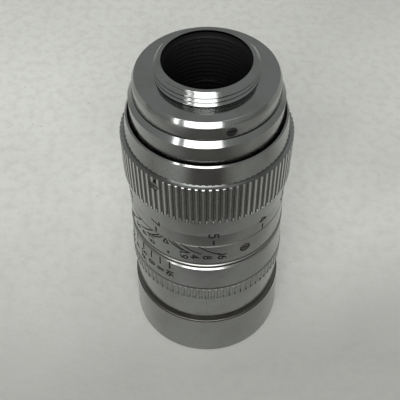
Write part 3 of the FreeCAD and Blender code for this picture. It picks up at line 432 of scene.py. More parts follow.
def groove_metal():
    """Dull brownish metal of the ring in the groove over the front ring."""
    tree = Tree("dull groove metal")
    rings, _, _ = tree.turned_place()
    patches = tree.noise(tree.place(), 300.0, 3.0, 0.6)
    colour = tree.mix(tree.ramp(patches, 0.35, 0.7), GROOVE_METAL, GROOVE_DIRT)
    return tree.set(Base_Color=colour, Metallic=1.0, Roughness=tree.ramp(patches, 0, 1, 0.16, 0.3),
                    Normal=tree.bump(tree.noise(rings, TURNING, 1.0), TURNING_RELIEF))


def screw_metal():
    """Dulled steel with dirt on it, for the screws, the pin and the spring."""
    colours = bpy.context.scene.lens_colours
    tree = Tree("dulled screw steel")
    patches = tree.noise(tree.place(), 1500.0, 4.0, 0.7)
    colour = tree.mix(tree.ramp(patches, 0.4, 0.7), colours.steel, colours.grime)
    rough = tree.math("MULTIPLY_ADD", patches, 0.35, 0.3)
    return tree.set(Base_Color=colour, Metallic=1.0, Roughness=rough,
                    Normal=tree.bump(patches, 0.00002))


def brass():
    """Turned brass, with painted shade darkening the upper threads of the helicoid, where they
    show in the gap between the focus ring and the rear tube.
    """
    colours = bpy.context.scene.lens_colours
    tree = Tree("helicoid brass")
    rings, _, z = tree.turned_place()
    fine = tree.noise(rings, TURNING, 2.0)
    patches = tree.noise(tree.place(), 400.0, 3.0)
    colour = tree.mix(tree.ramp(patches, 0.4, 0.7), colours.brass, BRASS_TARNISH)
    # painted shade: the brass darkens towards the top
    gap_shade = tree.ramp(z, GAP_SHADE_START * MM, GAP_SHADE_FULL * MM)
    colour = tree.mix(gap_shade, colour, GAP_SHADE_COLOUR)
    rough = tree.math("MULTIPLY_ADD", fine, 0.2, 0.25)
    return tree.set(Base_Color=colour, Metallic=1.0, Roughness=rough,
                    Normal=tree.bump(fine, TURNING_RELIEF))


def blade_steel():
    """Blackened spring steel, rubbed paler where blade slides on blade."""
    tree = Tree("blackened blade steel")
    rubbed = tree.noise(tree.place(), 900.0, 3.0, 0.6)
    colour = tree.mix(tree.ramp(rubbed, 0.5, 0.75), BLADE_STEEL, RUBBED_BLADE)
    rough = tree.math("MULTIPLY_ADD", rubbed, 0.2, 0.28)
    return tree.set(Base_Color=colour, Metallic=0.9, Roughness=rough,
                    Normal=tree.bump(rubbed, 0.000008))


def coated_glass():
    """Optical glass with a violet coating and a little dust."""
    tree = Tree("coated glass")
    dust = tree.noise(tree.place(), 2600.0, 2.0, 0.7)
    rough = tree.ramp(dust, 0.66, 0.8, 0.01, 0.2)
    bloom = tree.mix(tree.ramp(dust, 0.3, 0.7), CLEAR_GLASS, DUSTY_GLASS)
    return tree.set(Base_Color=bloom, Roughness=rough, IOR=1.6, Transmission_Weight=1.0,
                    Coat_Weight=0.6, Coat_Tint=GLASS_COATING)


def scale_paint(name, colour):
    """Matt paint in the engraving, and painted shade round the screws, worn paler in places."""
    tree = Tree(name)
    wear = tree.noise(tree.place(), 5200.0, 2.0, 0.6)
    worn = tree.ramp(wear, 0.62, 0.74, 0.0, 0.3)
    rough = tree.math("MULTIPLY_ADD", wear, 0.3, 0.55)
    return tree.set(Base_Color=tree.mix(worn, colour, WORN_PAINT), Roughness=rough,
                    Specular_IOR_Level=0.15, Normal=tree.bump(wear, 0.00001))


def table_top():
    """Pale grained table top, with painted shade that darkens it towards the near and the right
    side.
    """
    colours = bpy.context.scene.lens_colours
    tree = Tree("pale table top")
    place = tree.place()
    grain = tree.noise(place, 420.0, 4.0, 0.6)
    cloud = tree.noise(place, 22.0, 3.0)
    x, y, _ = tree.coordinates()
    # painted shade: darker towards the near side, under the camera's shadow, and towards the
    # right, away from the side window; the cloud adds random tone
    near = tree.ramp(y, -0.035, 0.03, 0.93, 0.0)
    aside = tree.ramp(x, -0.01, 0.05, 0.0, 0.2)
    uneven = tree.ramp(cloud, 0.3, 0.7, 0.0, 0.2)
    shade_and_tone = tree.math("ADD", tree.math("ADD", near, aside), uneven)
    darker = tuple(0.52 * c for c in colours.floor)
    colour = tree.mix(shade_and_tone, colours.floor, darker)
    colour = tree.mix(tree.ramp(grain, 0.4, 0.7, 0.0, 0.3), colour, TABLE_GRAIN)
    specks = tree.ramp(tree.noise(place, 900.0, 1.0), 0.76, 0.8, 0.0, 0.5)
    colour = tree.mix(specks, colour, TABLE_SPECKS)
    rough = tree.ramp(grain, 0.3, 0.7, 0.5, 0.62)
    return tree.set(Base_Color=colour, Roughness=rough, Normal=tree.bump(grain, 0.00008))


def card_shade():
    """Grey card that darkens towards its middle, as a shadow does.

    Its own coordinates run from -0.5 to 0.5, and y = 0.5 is the side next to the lens.
    """
    colours = bpy.context.scene.lens_colours
    tree = Tree("shade card")
    x, y, _ = tree.coordinates()
    aside = tree.ramp(tree.math("ABSOLUTE", x), 0.14, 0.46, 1.0, 0.0)
    ahead = tree.math("ADD", tree.ramp(y, 0.4, 0.5, 0.82, 0.0),
                      tree.ramp(y, 0.1, 0.22, 0.18, 0.0))
    far = tree.ramp(y, -0.5, -0.4)
    share = tree.math("MULTIPLY", tree.math("MULTIPLY", aside, ahead), far)
    shaded = tuple(0.54 * c for c in colours.floor)
    # painted shadow, darkest in the middle of the card
    return tree.set(Base_Color=tree.mix(share, shaded, PAINTED_SHADOW_DARK),
                    Roughness=tree.ramp(share, 0, 1, 0.5, 0.8))


def dress(node, material):
    """Puts a material on a CAD node."""
    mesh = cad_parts[node].data
    mesh.materials.clear()
    mesh.materials.append(material)


# meshes


def new_piece(name, mesh, material, body):
    """A piece of the lens on a body, with its material."""
    mesh.materials.append(material)
    piece = bpy.data.objects.new(name, mesh)
    bpy.context.scene.collection.objects.link(piece)
    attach(piece, body)
    return piece


def at(radius, azimuth, z):
    """A point in metres."""
    angle = math.radians(azimuth)
    return Vector((radius * math.sin(angle), -radius * math.cos(angle), z)) * MM


def turned_mesh(name, rows, segments):
    """A closed ring: each row is a (radius, height) pair or a function of the azimuth."""
    bm = bmesh.new()
    grid = []
    for row in rows:
        ring = []
        for i in range(segments):
            azimuth = i * 360 / segments
            radius, z = row(azimuth) if callable(row) else row
            ring.append(bm.verts.new(at(radius, azimuth, z)))
        grid.append(ring)
    for lower, upper in zip(grid, grid[1:] + grid[:1]):
        for i in range(segments):
            j = (i + 1) % segments
            bm.faces.new((lower[i], lower[j], upper[j], upper[i]))
    bmesh.ops.recalc_face_normals(bm, faces=bm.faces)
    mesh = bpy.data.meshes.new(name)
    bm.to_mesh(mesh)
    bm.free()
    return mesh


def eased(profile, size, steps=3):
    """The profile with each corner rounded a little, as a turned edge is.

    Rows that are functions of the azimuth stay, and so do the corners next to them.
    """
    out = []
    for i, corner in enumerate(profile):
        neighbours = profile[i - 1], profile[(i + 1) % len(profile)]
        if any(callable(row) for row in (corner, *neighbours)):
            out.append(corner)
            continue
        here = Vector(corner)
        before, after = (Vector(row) for row in neighbours)
        reach = min(size, (before - here).length / 2.5, (after - here).length / 2.5)
        start = here + (before - here).normalized() * reach
        end = here + (after - here).normalized() * reach
        for step in range(steps + 1):
            share = step / steps
            out.append(tuple(start * (1 - share) ** 2 + here * 2 * share * (1 - share)
                             + end * share ** 2))
    return out


def smooth(mesh, angle):
    """Smooth shading, with edges sharper than the angle kept."""
    mesh.shade_smooth()
    mesh.set_sharp_from_angle(angle=math.radians(angle))


# Strokes of the scales, drawn as a pantograph cuts them. A numeral is its width and its
# lines, for a height of 1.


def arc(x, y, rx, ry, start, end, steps):
    """Points along a part of an ellipse, from one angle to another, in degrees."""
    points = []
    for i in range(steps + 1):
        angle = math.radians(start + (end - start) * i / steps)
        points.append((x + rx * math.cos(angle), y + ry * math.sin(angle)))
    return points


def lemniscate(x, y, width, height, steps=36):
    """The sign for infinity, as a closed line."""
    points = []
    for i in range(steps + 1):
        t = math.radians(360 * i / steps)
        shrink = 1 + math.sin(t) ** 2
        points.append((x + width / 2 * math.cos(t) / shrink,
                       y + height * math.sin(t) * math.cos(t) / shrink))
    return points


SIX = [arc(.62, .32, .6, .68, 105, 180, 8) + arc(.31, .3, .29, .3, 180, 540, 24)]
NUMERALS = {
    "0": (.64, [arc(.32, .5, .3, .5, 90, 450, 28)]),
    "1": (.1, [[(.05, 0), (.05, 1)]]),
    "2": (.64, [arc(.32, .7, .29, .3, 165, -35, 14) + [(.02, 0), (.62, 0)]]),
    "3": (.6, [arc(.28, .74, .25, .26, 150, -90, 14) + arc(.28, .27, .3, .27, 88, -150, 16)]),
    "4": (.68, [[(.5, 0), (.5, 1), (0, .28), (.68, .28)]]),
    "5": (.62, [[(.56, 1), (.14, 1), (.08, .56)] + arc(.3, .32, .3, .32, 118, -140, 18)]),
    "6": (.62, SIX),
    "7": (.62, [[(0, 1), (.6, 1), (.2, 0)]]),
    "8": (.62, [arc(.31, .76, .24, .24, 90, 450, 22), arc(.31, .27, .3, .27, 90, 450, 26)]),
    "9": (.62, [[(.62 - x, 1 - y) for x, y in SIX[0]]]),
    ".": (.1, [[(.05, .0), (.05, .06)]]),
    "inf": (1.1, [lemniscate(.55, .5, 1.0, .8)]),
}
LETTER_GAP = 0.26


def numeral_strokes(text, height):
    """Strokes of a number, in millimetres, centred on the origin and read along +x."""
    marks = [text] if text in NUMERALS else list(text)
    x, strokes = 0.0, []
    for mark in marks:
        width, lines = NUMERALS[mark]
        strokes += [[(x + px, py) for px, py in line] for line in lines]
        x += width + LETTER_GAP
    middle = (x - LETTER_GAP) / 2
    return [[((px - middle) * height, (py - 0.5) * height) for px, py in line]
            for line in strokes]


class Engraving:
    """Painted strokes on a turned surface, as one mesh.

    A stroke's section has its crown and its edges over the surface and its floor under it.
    """

    CROWN, EDGE, FLOOR = 0.016, 0.002, -0.05
    STEP = 0.2
    CAP_ANGLES = (80, 55, 28)

    def __init__(self, surface):
        self.surface = surface
        self.bm = bmesh.new()

    def stroke(self, points, width):
        """A rounded stroke through (azimuth, height) points."""
        around = math.radians(1.0) * self.surface(points[0][1])
        flat = self.spread([Vector((a * around, z)) for a, z in points])
        closed = len(flat) > 3 and (flat[0] - flat[-1]).length < 1e-4
        if closed:
            flat = flat[:-1]
        sections = self.sections(flat, width / 2, closed)
        if not closed:
            sections = self.capped(sections)
        rings = [self.section(*section, around) for section in sections]
        for lower, upper in zip(rings, rings[1:] + (rings[:1] if closed else [])):
            for k in range(4):
                self.bm.faces.new((lower[k], lower[(k + 1) % 4], upper[(k + 1) % 4], upper[k]))
        if not closed:
            self.bm.faces.new(rings[0])
            self.bm.faces.new(rings[-1])

    def spread(self, corners):
        """The same line with points no more than a step apart, so that it can bend round."""
        flat = corners[:1]
        for start, end in zip(corners, corners[1:]):
            pieces = max(1, math.ceil((end - start).length / self.STEP))
            flat += [start.lerp(end, (k + 1) / pieces) for k in range(pieces)]
        return flat

    def sections(self, flat, half, closed):
        """Each point with the line's direction there and half the width."""
        sections = []
        count = len(flat)
        for i, point in enumerate(flat):
            before = flat[i - 1] if closed or i else point
            after = flat[(i + 1) % count] if closed or i + 1 < count else point
            sections.append((point, (after - before).normalized(), half))
        return sections

    def capped(self, sections):
        """The sections with a rounded end before and after them."""
        turns = [math.radians(angle) for angle in self.CAP_ANGLES]
        (first, out, half), (last, on, _) = sections[0], sections[-1]
        start = [(first - out * half * math.sin(t), out, half * math.cos(t)) for t in turns]
        end = [(last + on * half * math.sin(t), on, half * math.cos(t))
               for t in reversed(turns)]
        return start + sections + end

    def section(self, point, along, half, around):
        """The four vertices of a stroke's section."""
        side = Vector((-along.y, along.x)) * half
        corners = ((point + side, self.EDGE), (point, self.CROWN), (point - side, self.EDGE),
                   (point, self.FLOOR))
        return [self.bm.verts.new(at(self.surface(p.y) + lift, p.x / around, p.y))
                for p, lift in corners]

    def number(self, text, azimuth, z, height, width):
        """A number turned a quarter turn clockwise, so that it is read from the side."""
        degrees = 1 / (math.radians(1.0) * self.surface(z))
        for line in numeral_strokes(text, height):
            self.stroke([(azimuth + y * degrees, z - x) for x, y in line], width)

    def tick(self, azimuth, low, high, width):
        """A line along the axis."""
        self.stroke([(azimuth, low), (azimuth, high)], width)

    def dot(self, azimuth, z, size):
        """A very short stroke, as wide as the dot."""
        self.tick(azimuth, z - size / 8, z + size / 8, size)

    def ring(self, azimuth, z, radius, width):
        """A circle, such as the painted shade in the gap round a screw's head."""
        degrees = 1 / (math.radians(1.0) * self.surface(z))
        circle = arc(0, 0, radius, radius, 0, 360, 32)
        self.stroke([(azimuth + x * degrees, z + y) for x, y in circle], width)

    def mesh(self, name):
        bmesh.ops.recalc_face_normals(self.bm, faces=self.bm.faces)
        mesh = bpy.data.meshes.new(name)
        self.bm.to_mesh(mesh)
        self.bm.free()
        smooth(mesh, 50)
        return mesh


def share_between(z, low, high):
    """0 below a height, 1 above another, and even between them."""
    return min(max((z - low) / (high - low), 0.0), 1.0)


def skirt_surface(z):
    """Radius of the focus ring's skirt and cone."""
    return SKIRT_RADIUS + share_between(z, SKIRT_TOP, CONE_TOP) * (CONE_RADIUS - SKIRT_RADIUS)


def scale_surface(z):
    """Radius of the depth of field ring, the same at each height."""
    return SCALE_RADIUS


def band_surface(z):
    """Radius of the aperture ring's number band."""
    return BAND_RADIUS - BAND_TAPER * share_between(z, BAND_FOOT, BAND_TOP)


def distance_azimuth(feet):
    """Where a distance stands on the focus ring at rest. No distance stands for infinity."""
    if feet is None:
        return FAR_AZIMUTH
    distance = feet * FEET
    travel = FOCAL_LENGTH ** 2 / (distance - FOCAL_LENGTH)
    return FAR_AZIMUTH + 360 * travel / FOCUS_LEAD


# the operators


class LENS_OT_plated_rings(bpy.types.Operator):
    """Puts satin chrome on the outer rings and bright chrome on the rear tube"""
    bl_idname = "lens.plated_rings"
    bl_label = "Plated rings"

    def execute(self, context):
        # the dark bands are painted shade: they darken the corners between the rings and the
        # highlights on some edges
        dress("front_ring", plated(
            "satin chrome, front ring", SATIN + 0.01, SATIN_LINES, tarnish=0.3,
            painted_shade_bands=[(FRONT_TOP - 0.13, 0.14, 2.5), (FRONT_TOP, 0.06, 0.65)]))
        dress("aperture_ring", plated(
            "satin chrome, aperture ring", SATIN, SATIN_LINES,
            painted_shade_bands=[(BAND_FOOT - 0.2, 0.4, 2.0), (APERTURE_TOP - 0.03, 0.22, 2.0)]))
        dress("depth_of_field_ring", plated(
            "satin chrome, depth of field ring", SATIN, SATIN_LINES,
            painted_shade_bands=[(SCALE_BOTTOM - 0.08, 0.35, 2.0), (SCALE_BOTTOM + 0.58, 0.4, 0.85),
                        (SCALE_TOP, 0.3, 0.8)]))
        dress("focus_ring", plated(
            "satin chrome, focus ring", SATIN, SATIN_LINES,
            painted_shade_bands=[(FOCUS_BOTTOM - 0.05, 0.22, 0.8)],
            flutes=(FLUTE_BOTTOM, FLUTE_TOP, FLUTE_VALLEY, FLUTE_CREST),
            polished_above=FLUTE_TOP))
        dress("rear_tube", plated(
            "bright chrome, rear tube", BRIGHT, BRIGHT_LINES,
            grime_bands=[(FOCUS_TOP + 0.3, 1.1, 0.55)]))
        return {"FINISHED"}


class LENS_OT_screws(bpy.types.Operator):
    """Puts dulled or blackened steel on the screws, the pin and the click spring"""
    bl_idname = "lens.screws"
    bl_label = "Screws"

    def execute(self, context):
        steel = screw_metal()
        for node in STEEL_NODES:
            dress(node, steel)
        dress("mount_screws", blackened("blackened screw steel"))
        return {"FINISHED"}


class LENS_OT_inner_parts(bpy.types.Operator):
    """Puts the black, brass, blade and glass finishes on what is inside"""
    bl_idname = "lens.inner_parts"
    bl_label = "Inner parts"

    def execute(self, context):
        black = blackened("black anodised")
        yellow, glass, blades = brass(), coated_glass(), blade_steel()
        for node in BLACK_NODES:
            dress(node, black)
        for node in BRASS_NODES:
            dress(node, yellow)
        for node in GLASS_NODES:
            dress(node, glass)
        for number in range(1, 9):
            dress(f"iris_blade_{number}", blades)
        dress("rear_baffle", bore_black())
        dress("aperture_retaining_ring", groove_metal())
        return {"FINISHED"}


class LENS_OT_threaded_mount(bpy.types.Operator):
    """Makes the mount ring with its thread, in place of the plain solid"""
    bl_idname = "lens.threaded_mount"
    bl_label = "Threaded mount ring"

    # radii, from the solid that this ring stands in for
    FACE, SOCKET, CREST = 10.9, 10.22, 7.9375
    RELIEF, OPENING, BORE = 7.7, 6.8, 7.25
    RIM, CHAMFER_SLOPE = 7.4, 0.95

    # heights over the ring's foot, depths under its top, and the relief's over the face
    WALL_RISE, SOCKET_RISE = 2.15, 2.35
    FACE_DROP, THREAD_DROP, LIP_DROP = 2.4, 2.28, 0.4
    RELIEF_RISE = 0.1

    # the groove starts under the top, keeps a flat floor and fades in at its lowest turn
    FIRST_GROOVE, GROOVE_FLOOR, GROOVE_FADE = 0.19, 0.12, 0.08
    BOSS_ROWS = 92
    EASE = 0.07

    SCREW_AZIMUTH, SCREW_RADIUS, SCREW_RISE = 18.3, 0.7, 1.05
    HOLE_LENGTH, HOLE_SEGMENTS = 3.0, 40

    def thread_row(self, z, sizes):
        """A row of the boss at one height, with the groove where the thread crosses it."""
        pitch, depth = sizes.thread_pitch, sizes.thread_depth
        low = MOUNT_TOP - self.THREAD_DROP
        fade = share_between(z, low, low + self.GROOVE_FADE)

        def row(azimuth):
            turns = (z - MOUNT_TOP + self.FIRST_GROOVE) / pitch - azimuth / 360
            above = turns % 1 * pitch
            if above < self.GROOVE_FLOOR:
                cut = 1.0
            else:
                cut = max(0.0, 1 - (pitch - above) / sizes.thread_groove)
            chamfer = self.RIM + (MOUNT_TOP - z) * self.CHAMFER_SLOPE
            return min(self.CREST - depth * cut * fade, chamfer), z

        return row

    def execute(self, context):
        sizes = context.scene.lens_sizes
        face, lip = MOUNT_TOP - self.FACE_DROP, MOUNT_TOP - self.LIP_DROP
        foot = MOUNT_TOP - self.THREAD_DROP
        socket_top = MOUNT_BOTTOM + self.SOCKET_RISE
        outside = [
            (self.SOCKET, MOUNT_BOTTOM), (WALL_RADIUS, MOUNT_BOTTOM),
            (WALL_RADIUS, MOUNT_BOTTOM + self.WALL_RISE), (self.FACE, face),
            (self.RELIEF, face), (self.RELIEF, face + self.RELIEF_RISE),
        ]
        boss = [self.thread_row(foot + (MOUNT_TOP - foot) * i / self.BOSS_ROWS, sizes)
                for i in range(self.BOSS_ROWS + 1)]
        inside = [
            (self.OPENING, MOUNT_TOP), (self.OPENING, lip), (self.BORE, lip),
            (self.BORE, socket_top), (self.SOCKET, socket_top),
        ]
        rows = eased(outside + boss + inside, self.EASE)
        mesh = turned_mesh("threaded_mount_ring", rows, sizes.round_segments)
        # the dark band at the ring's foot is painted shade, in the corner there
        material = plated("bright chrome, mount ring", BRIGHT, BRIGHT_LINES,
                          painted_shade_bands=[(MOUNT_BOTTOM - 0.05, 0.3, 0.9)])
        ring = new_piece("threaded_mount_ring", mesh, material, "mount")
        self.cut_screw_holes(ring)
        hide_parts("mount_ring")
        return {"FINISHED"}

    def cut_screw_holes(self, ring):
        """The three holes of the set screws, cut through the ring's wall."""
        bm = bmesh.new()
        for number in range(3):
            azimuth = self.SCREW_AZIMUTH + 120 * number
            middle = at((self.SOCKET + WALL_RADIUS) / 2, azimuth, MOUNT_BOTTOM + self.SCREW_RISE)
            outward = at(1, azimuth, 0).normalized()
            turn = outward.to_track_quat("Z", "Y").to_matrix().to_4x4()
            radius = self.SCREW_RADIUS * MM
            bmesh.ops.create_cone(bm, cap_ends=True, segments=self.HOLE_SEGMENTS,
                                  radius1=radius, radius2=radius, depth=self.HOLE_LENGTH * MM,
                                  matrix=Matrix.Translation(middle) @ turn)
        mesh = bpy.data.meshes.new("screw_hole_cutters")
        bm.to_mesh(mesh)
        bm.free()
        cutter = bpy.data.objects.new("screw_hole_cutters", mesh)
        bpy.context.scene.collection.objects.link(cutter)
        modifier = ring.modifiers.new("screw holes", "BOOLEAN")
        modifier.object = cutter
        modifier.solver = "EXACT"
        bpy.context.view_layer.update()
        evaluated = ring.evaluated_get(bpy.context.evaluated_depsgraph_get())
        cut = bpy.data.meshes.new_from_object(evaluated)
        ring.modifiers.clear()
        ring.data = cut
        smooth(cut, 35)
        bpy.data.objects.remove(cutter)


class LENS_OT_distance_scale(bpy.types.Operator):
    """Engraves the distances on the focus ring's skirt"""
    bl_idname = "lens.distance_scale"
    bl_label = "Distance scale"

    MARKS = (("3.5", 3.5), ("4", 4), ("5", 5), ("7", 7), ("10", 10), ("15", 15), ("30", 30),
             ("inf", None))

    # heights over the ring's foot
    TICK_LOW, TICK_HIGH = 0.35, 1.35
    NUMBER_RISE, LONG_NUMBER_RISE = 2.75, 3.1

    def execute(self, context):
        sizes = context.scene.lens_sizes
        scale = Engraving(skirt_surface)
        for text, feet in self.MARKS:
            azimuth = distance_azimuth(feet)
            rise = self.LONG_NUMBER_RISE if len(text) > 1 else self.NUMBER_RISE
            scale.tick(azimuth, FOCUS_BOTTOM + self.TICK_LOW, FOCUS_BOTTOM + self.TICK_HIGH,
                       sizes.stroke_width)
            scale.number(text, azimuth, FOCUS_BOTTOM + rise, sizes.numeral_height,
                         sizes.stroke_width)
        new_piece("distance_scale", scale.mesh("distance_scale"),
                  scale_paint("black paint, distances", context.scene.lens_colours.paint),
                  "focus_ring")
        return {"FINISHED"}


class LENS_OT_depth_scale(bpy.types.Operator):
    """Engraves the index, its dot, and the depth of field lines and numbers"""
    bl_idname = "lens.depth_scale"
    bl_label = "Depth of field scale"

    # each number, the azimuths of its line's top and foot from the index, the foot's height
    # over the ring's foot, and the number's own azimuth from the index
    LINES = (("1.9", 2.9, 13.2, 3.85, 14.0), ("4", 6.1, 18.3, 3.55, 22.1),
             ("8", 12.3, 26.5, 3.6, 31.0), ("16", 25.4, 40.0, 3.4, 41.6))
    LINE_STEPS, LINE_BEND = 16, 1.45
    NUMBER_RISE = 2.55
    LINE_WIDTH, NUMBER_WIDTH = 0.9, 0.95  # as parts of the other scales' strokes

    # the index triangle: half its width in degrees, and its foot and tip over the ring's foot
    INDEX_HALF, INDEX_LOW, INDEX_TIP = 2.2, 4.25, 5.4

    # the dot under it: its azimuth from the index, its height and its size
    DOT_AZIMUTH, DOT_RISE, DOT_SIZE = 1.5, 1.85, 0.5

    def depth_line(self, side, top, foot, low):
        """A line that leaves the ring's top steeply and levels out."""
        start = SCALE_TOP - 0.13
        points = []
        for i in range(self.LINE_STEPS + 1):
            share = i / self.LINE_STEPS
            azimuth = INDEX_AZIMUTH + side * (top + (foot - top) * share)
            drop = 1 - (1 - share) ** self.LINE_BEND
            points.append((azimuth, start - (start - low) * drop))
        return points

    def execute(self, context):
        sizes = context.scene.lens_sizes
        scale = Engraving(scale_surface)
        line_width = sizes.stroke_width * self.LINE_WIDTH
        number_width = sizes.stroke_width * self.NUMBER_WIDTH
        for side in (1, -1):
            for text, top, foot, rise, number in self.LINES:
                scale.stroke(self.depth_line(side, top, foot, SCALE_BOTTOM + rise), line_width)
                scale.number(text, INDEX_AZIMUTH + side * number,
                             SCALE_BOTTOM + self.NUMBER_RISE,
                             sizes.small_numeral_height, number_width)
        low, tip = SCALE_BOTTOM + self.INDEX_LOW, SCALE_BOTTOM + self.INDEX_TIP
        left, right = INDEX_AZIMUTH - self.INDEX_HALF, INDEX_AZIMUTH + self.INDEX_HALF
        scale.stroke([(left, low), (right, low), (INDEX_AZIMUTH, tip), (left, low)], line_width)
        scale.dot(INDEX_AZIMUTH + self.DOT_AZIMUTH, SCALE_BOTTOM + self.DOT_RISE, self.DOT_SIZE)
        new_piece("depth_scale", scale.mesh("depth_scale"),
                  scale_paint("black paint, depths", context.scene.lens_colours.paint),
                  "barrel")
        return {"FINISHED"}


class LENS_OT_aperture_scale(bpy.types.Operator):
    """Engraves the stops on the aperture ring"""
    bl_idname = "lens.aperture_scale"
    bl_label = "Aperture scale"

    # each stop and how far the ring has turned to it, in degrees
    STOPS = (("16", 0), ("11", 8.4), ("8", 17.3), ("5.6", 27.0), ("4", 37.0), ("2.8", 47.8),
             ("1.9", 60.0))
    FIRST_AZIMUTH = -28.3

    # depths under the ring's top
    TICK_LOW, TICK_HIGH = 2.15, 0.55
    NUMBER_DROP, LONG_NUMBER_DROP = 3.7, 3.8

    def execute(self, context):
        sizes = context.scene.lens_sizes
        scale = Engraving(band_surface)
        for stop, turn in self.STOPS:
            azimuth = self.FIRST_AZIMUTH - turn
            drop = self.LONG_NUMBER_DROP if len(stop) > 2 else self.NUMBER_DROP
            scale.tick(azimuth, APERTURE_TOP - self.TICK_LOW, APERTURE_TOP - self.TICK_HIGH,
                       sizes.stroke_width)
            scale.number(stop, azimuth, APERTURE_TOP - drop, sizes.small_numeral_height,
                         sizes.stroke_width)
        new_piece("aperture_scale", scale.mesh("aperture_scale"),
                  scale_paint("black paint, stops", context.scene.lens_colours.paint),
                  "aperture_ring")
        return {"FINISHED"}


class LENS_OT_screw_seats(bpy.types.Operator):
    """Paints shade into the gaps round the set screws' heads"""
    bl_idname = "lens.screw_seats"
    bl_label = "Screw seats"

    # body, slot, screws, azimuth of the first, radius of the surface, radius of the head
    SEATS = (("barrel", "satin_chrome", "scale_ring_screws", 28.5, SCALE_RADIUS, 0.8),
             ("focus_ring", "satin_chrome", "focus_ring_screws", -35.2, 13.93, 0.8),
             ("mount", "bright_chrome", "mount_screws", 18.3, WALL_RADIUS, 0.68))
    GAP, DIRT_WIDTH = 0.04, 0.27

    def execute(self, context):
        # painted shade: a dark ring in the gap round each screw head
        paint = scale_paint("dirt round the screws", SCREW_GAP_SHADE)
        for body, slot, screws, azimuth, surface, head in self.SEATS:
            seats = Engraving(lambda z, radius=surface: radius)
            for number in range(3):
                seats.ring(azimuth + 120 * number, middle_z(screws), head + self.GAP,
                           self.DIRT_WIDTH)
            name = f"screw_seats_{body}"
            new_piece(name, seats.mesh(name), paint, body)
        return {"FINISHED"}


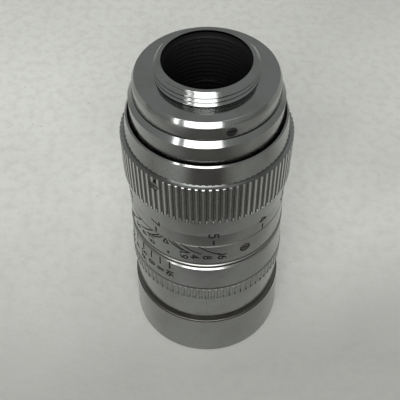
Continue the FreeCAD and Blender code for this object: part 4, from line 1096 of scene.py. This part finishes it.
class LENS_OT_stage(bpy.types.Operator):
    """Makes the table top, the shade card, the lights and the camera"""
    bl_idname = "lens.stage"
    bl_label = "Table, lights and camera"

    # places and sizes in metres, and the side of the photograph in pixels
    CAMERA_PLACE = (0.0, -0.0812, 0.12632)
    PHOTOGRAPH = 400
    TABLE_HALF, TABLE_DROP = 1.2, 0.00001
    CARD_PLACE, CARD_SIZE = (0, -0.105, 0.001), (0.14, 0.16, 1)

    # place, way it faces, width and height
    OVERHEAD = (0, 0, 1.1), (0, 0, -1), 0.9, 0.9
    WINDOW = (-0.065, -0.62, 0.45), (0, 1, 0), 0.57, 0.84
    SIDE_WINDOW = (-0.54, -0.62, 0.45), (0, 1, 0), 0.11, 0.84

    def execute(self, context):
        self.table()
        self.camera(context.scene)
        self.shade_card()
        self.lights(context.scene)
        return {"FINISHED"}

    def sheet(self, name, segments, half, material):
        """A flat sheet on the stage, which isn't part of the lens."""
        bm = bmesh.new()
        bmesh.ops.create_grid(bm, x_segments=segments, y_segments=segments, size=half)
        mesh = bpy.data.meshes.new(name)
        bm.to_mesh(mesh)
        bm.free()
        mesh.materials.append(material)
        sheet = bpy.data.objects.new(name, mesh)
        bpy.context.scene.collection.objects.link(sheet)
        return sheet

    def table(self):
        """The table top, a hair under the lens's foot."""
        table = self.sheet("table_top", 24, self.TABLE_HALF, table_top())
        table.location.z = -self.TABLE_DROP

    def camera(self, scene):
        """The camera that took the photograph, from the ellipses of the rings."""
        stage = scene.lens_stage
        data = bpy.data.cameras.new("camera")
        data.sensor_width = 36.0
        data.lens = stage.focal_pixels / self.PHOTOGRAPH * data.sensor_width
        data.clip_start, data.clip_end = 0.005, 10
        pitch, yaw, roll = stage.pitch, stage.yaw, stage.roll
        ahead = Vector((math.sin(yaw) * math.cos(pitch), math.cos(yaw) * math.cos(pitch),
                        -math.sin(pitch)))
        right = ahead.cross(Vector((0, 0, 1))).normalized()
        above = right.cross(ahead)
        turned_right = math.cos(roll) * right + math.sin(roll) * above
        turned_above = -math.sin(roll) * right + math.cos(roll) * above
        camera = bpy.data.objects.new("camera", data)
        axes = Matrix((turned_right, turned_above, -ahead)).transposed().to_4x4()
        camera.matrix_world = Matrix.Translation(self.CAMERA_PLACE) @ axes
        scene.collection.objects.link(camera)
        scene.camera = camera

    def shade_card(self):
        """A card of painted shadow on the table in front, out of view, which shows in the plating
        as the camera's shadow on the table.
        """
        card = self.sheet("shade_card", 16, 0.5, card_shade())
        card.location = self.CARD_PLACE
        card.scale = self.CARD_SIZE
        card.visible_camera = False
        card.visible_shadow = False
        card.visible_diffuse = False

    def lights(self, scene):
        """Daylight from two windows and overhead, in an even room."""
        stage = scene.lens_stage
        world = bpy.data.worlds.new("room")
        world.use_nodes = True
        background = world.node_tree.nodes["Background"]
        background.inputs[0].default_value = DAYLIGHT
        background.inputs[1].default_value = stage.room_glow
        scene.world = world
        scene.view_settings.view_transform = "Standard"
        self.area("overhead", *self.OVERHEAD, stage.overhead_glow)
        self.area("window", *self.WINDOW, stage.window_glow)
        self.area("side_window", *self.SIDE_WINDOW, stage.window_glow)

    def area(self, name, place, facing, width, height, glow):
        """A rectangle of light. Its glow is its radiance, whatever its size."""
        data = bpy.data.lights.new(name, "AREA")
        data.shape = "RECTANGLE"
        data.size, data.size_y = width, height
        data.energy = glow * math.pi * width * height
        light = bpy.data.objects.new(name, data)
        light.location = place
        light.rotation_euler = Vector(facing).to_track_quat("-Z", "Y").to_euler()
        bpy.context.scene.collection.objects.link(light)


class LENS_PT_panel(bpy.types.Panel):
    bl_label = "Telephoto lens"
    bl_space_type = "VIEW_3D"
    bl_region_type = "UI"
    bl_category = "Lens"

    def draw(self, context):
        scene = context.scene
        for group in (scene.lens_sizes, scene.lens_colours, scene.lens_stage):
            box = self.layout.box()
            for name in group.__annotations__:
                box.prop(group, name)
        for operator in OPERATORS:
            self.layout.operator(operator.bl_idname)


GROUPS = {"lens_sizes": LensSizes, "lens_colours": LensColours, "lens_stage": LensStage}
OPERATORS = (LENS_OT_plated_rings, LENS_OT_screws, LENS_OT_inner_parts,
             LENS_OT_threaded_mount, LENS_OT_distance_scale, LENS_OT_depth_scale,
             LENS_OT_aperture_scale, LENS_OT_screw_seats, LENS_OT_stage)
CLASSES = (*GROUPS.values(), *OPERATORS, LENS_PT_panel)


def register():
    for item in CLASSES:
        bpy.utils.register_class(item)
    for name, group in GROUPS.items():
        setattr(bpy.types.Scene, name, PointerProperty(type=group))


def unregister():
    for name in GROUPS:
        delattr(bpy.types.Scene, name)
    for item in reversed(CLASSES):
        bpy.utils.unregister_class(item)


def main():
    register()
    for operator in OPERATORS:
        group, name = operator.bl_idname.split(".")
        getattr(getattr(bpy.ops, group), name)()


if __name__ == "__main__":
    main()
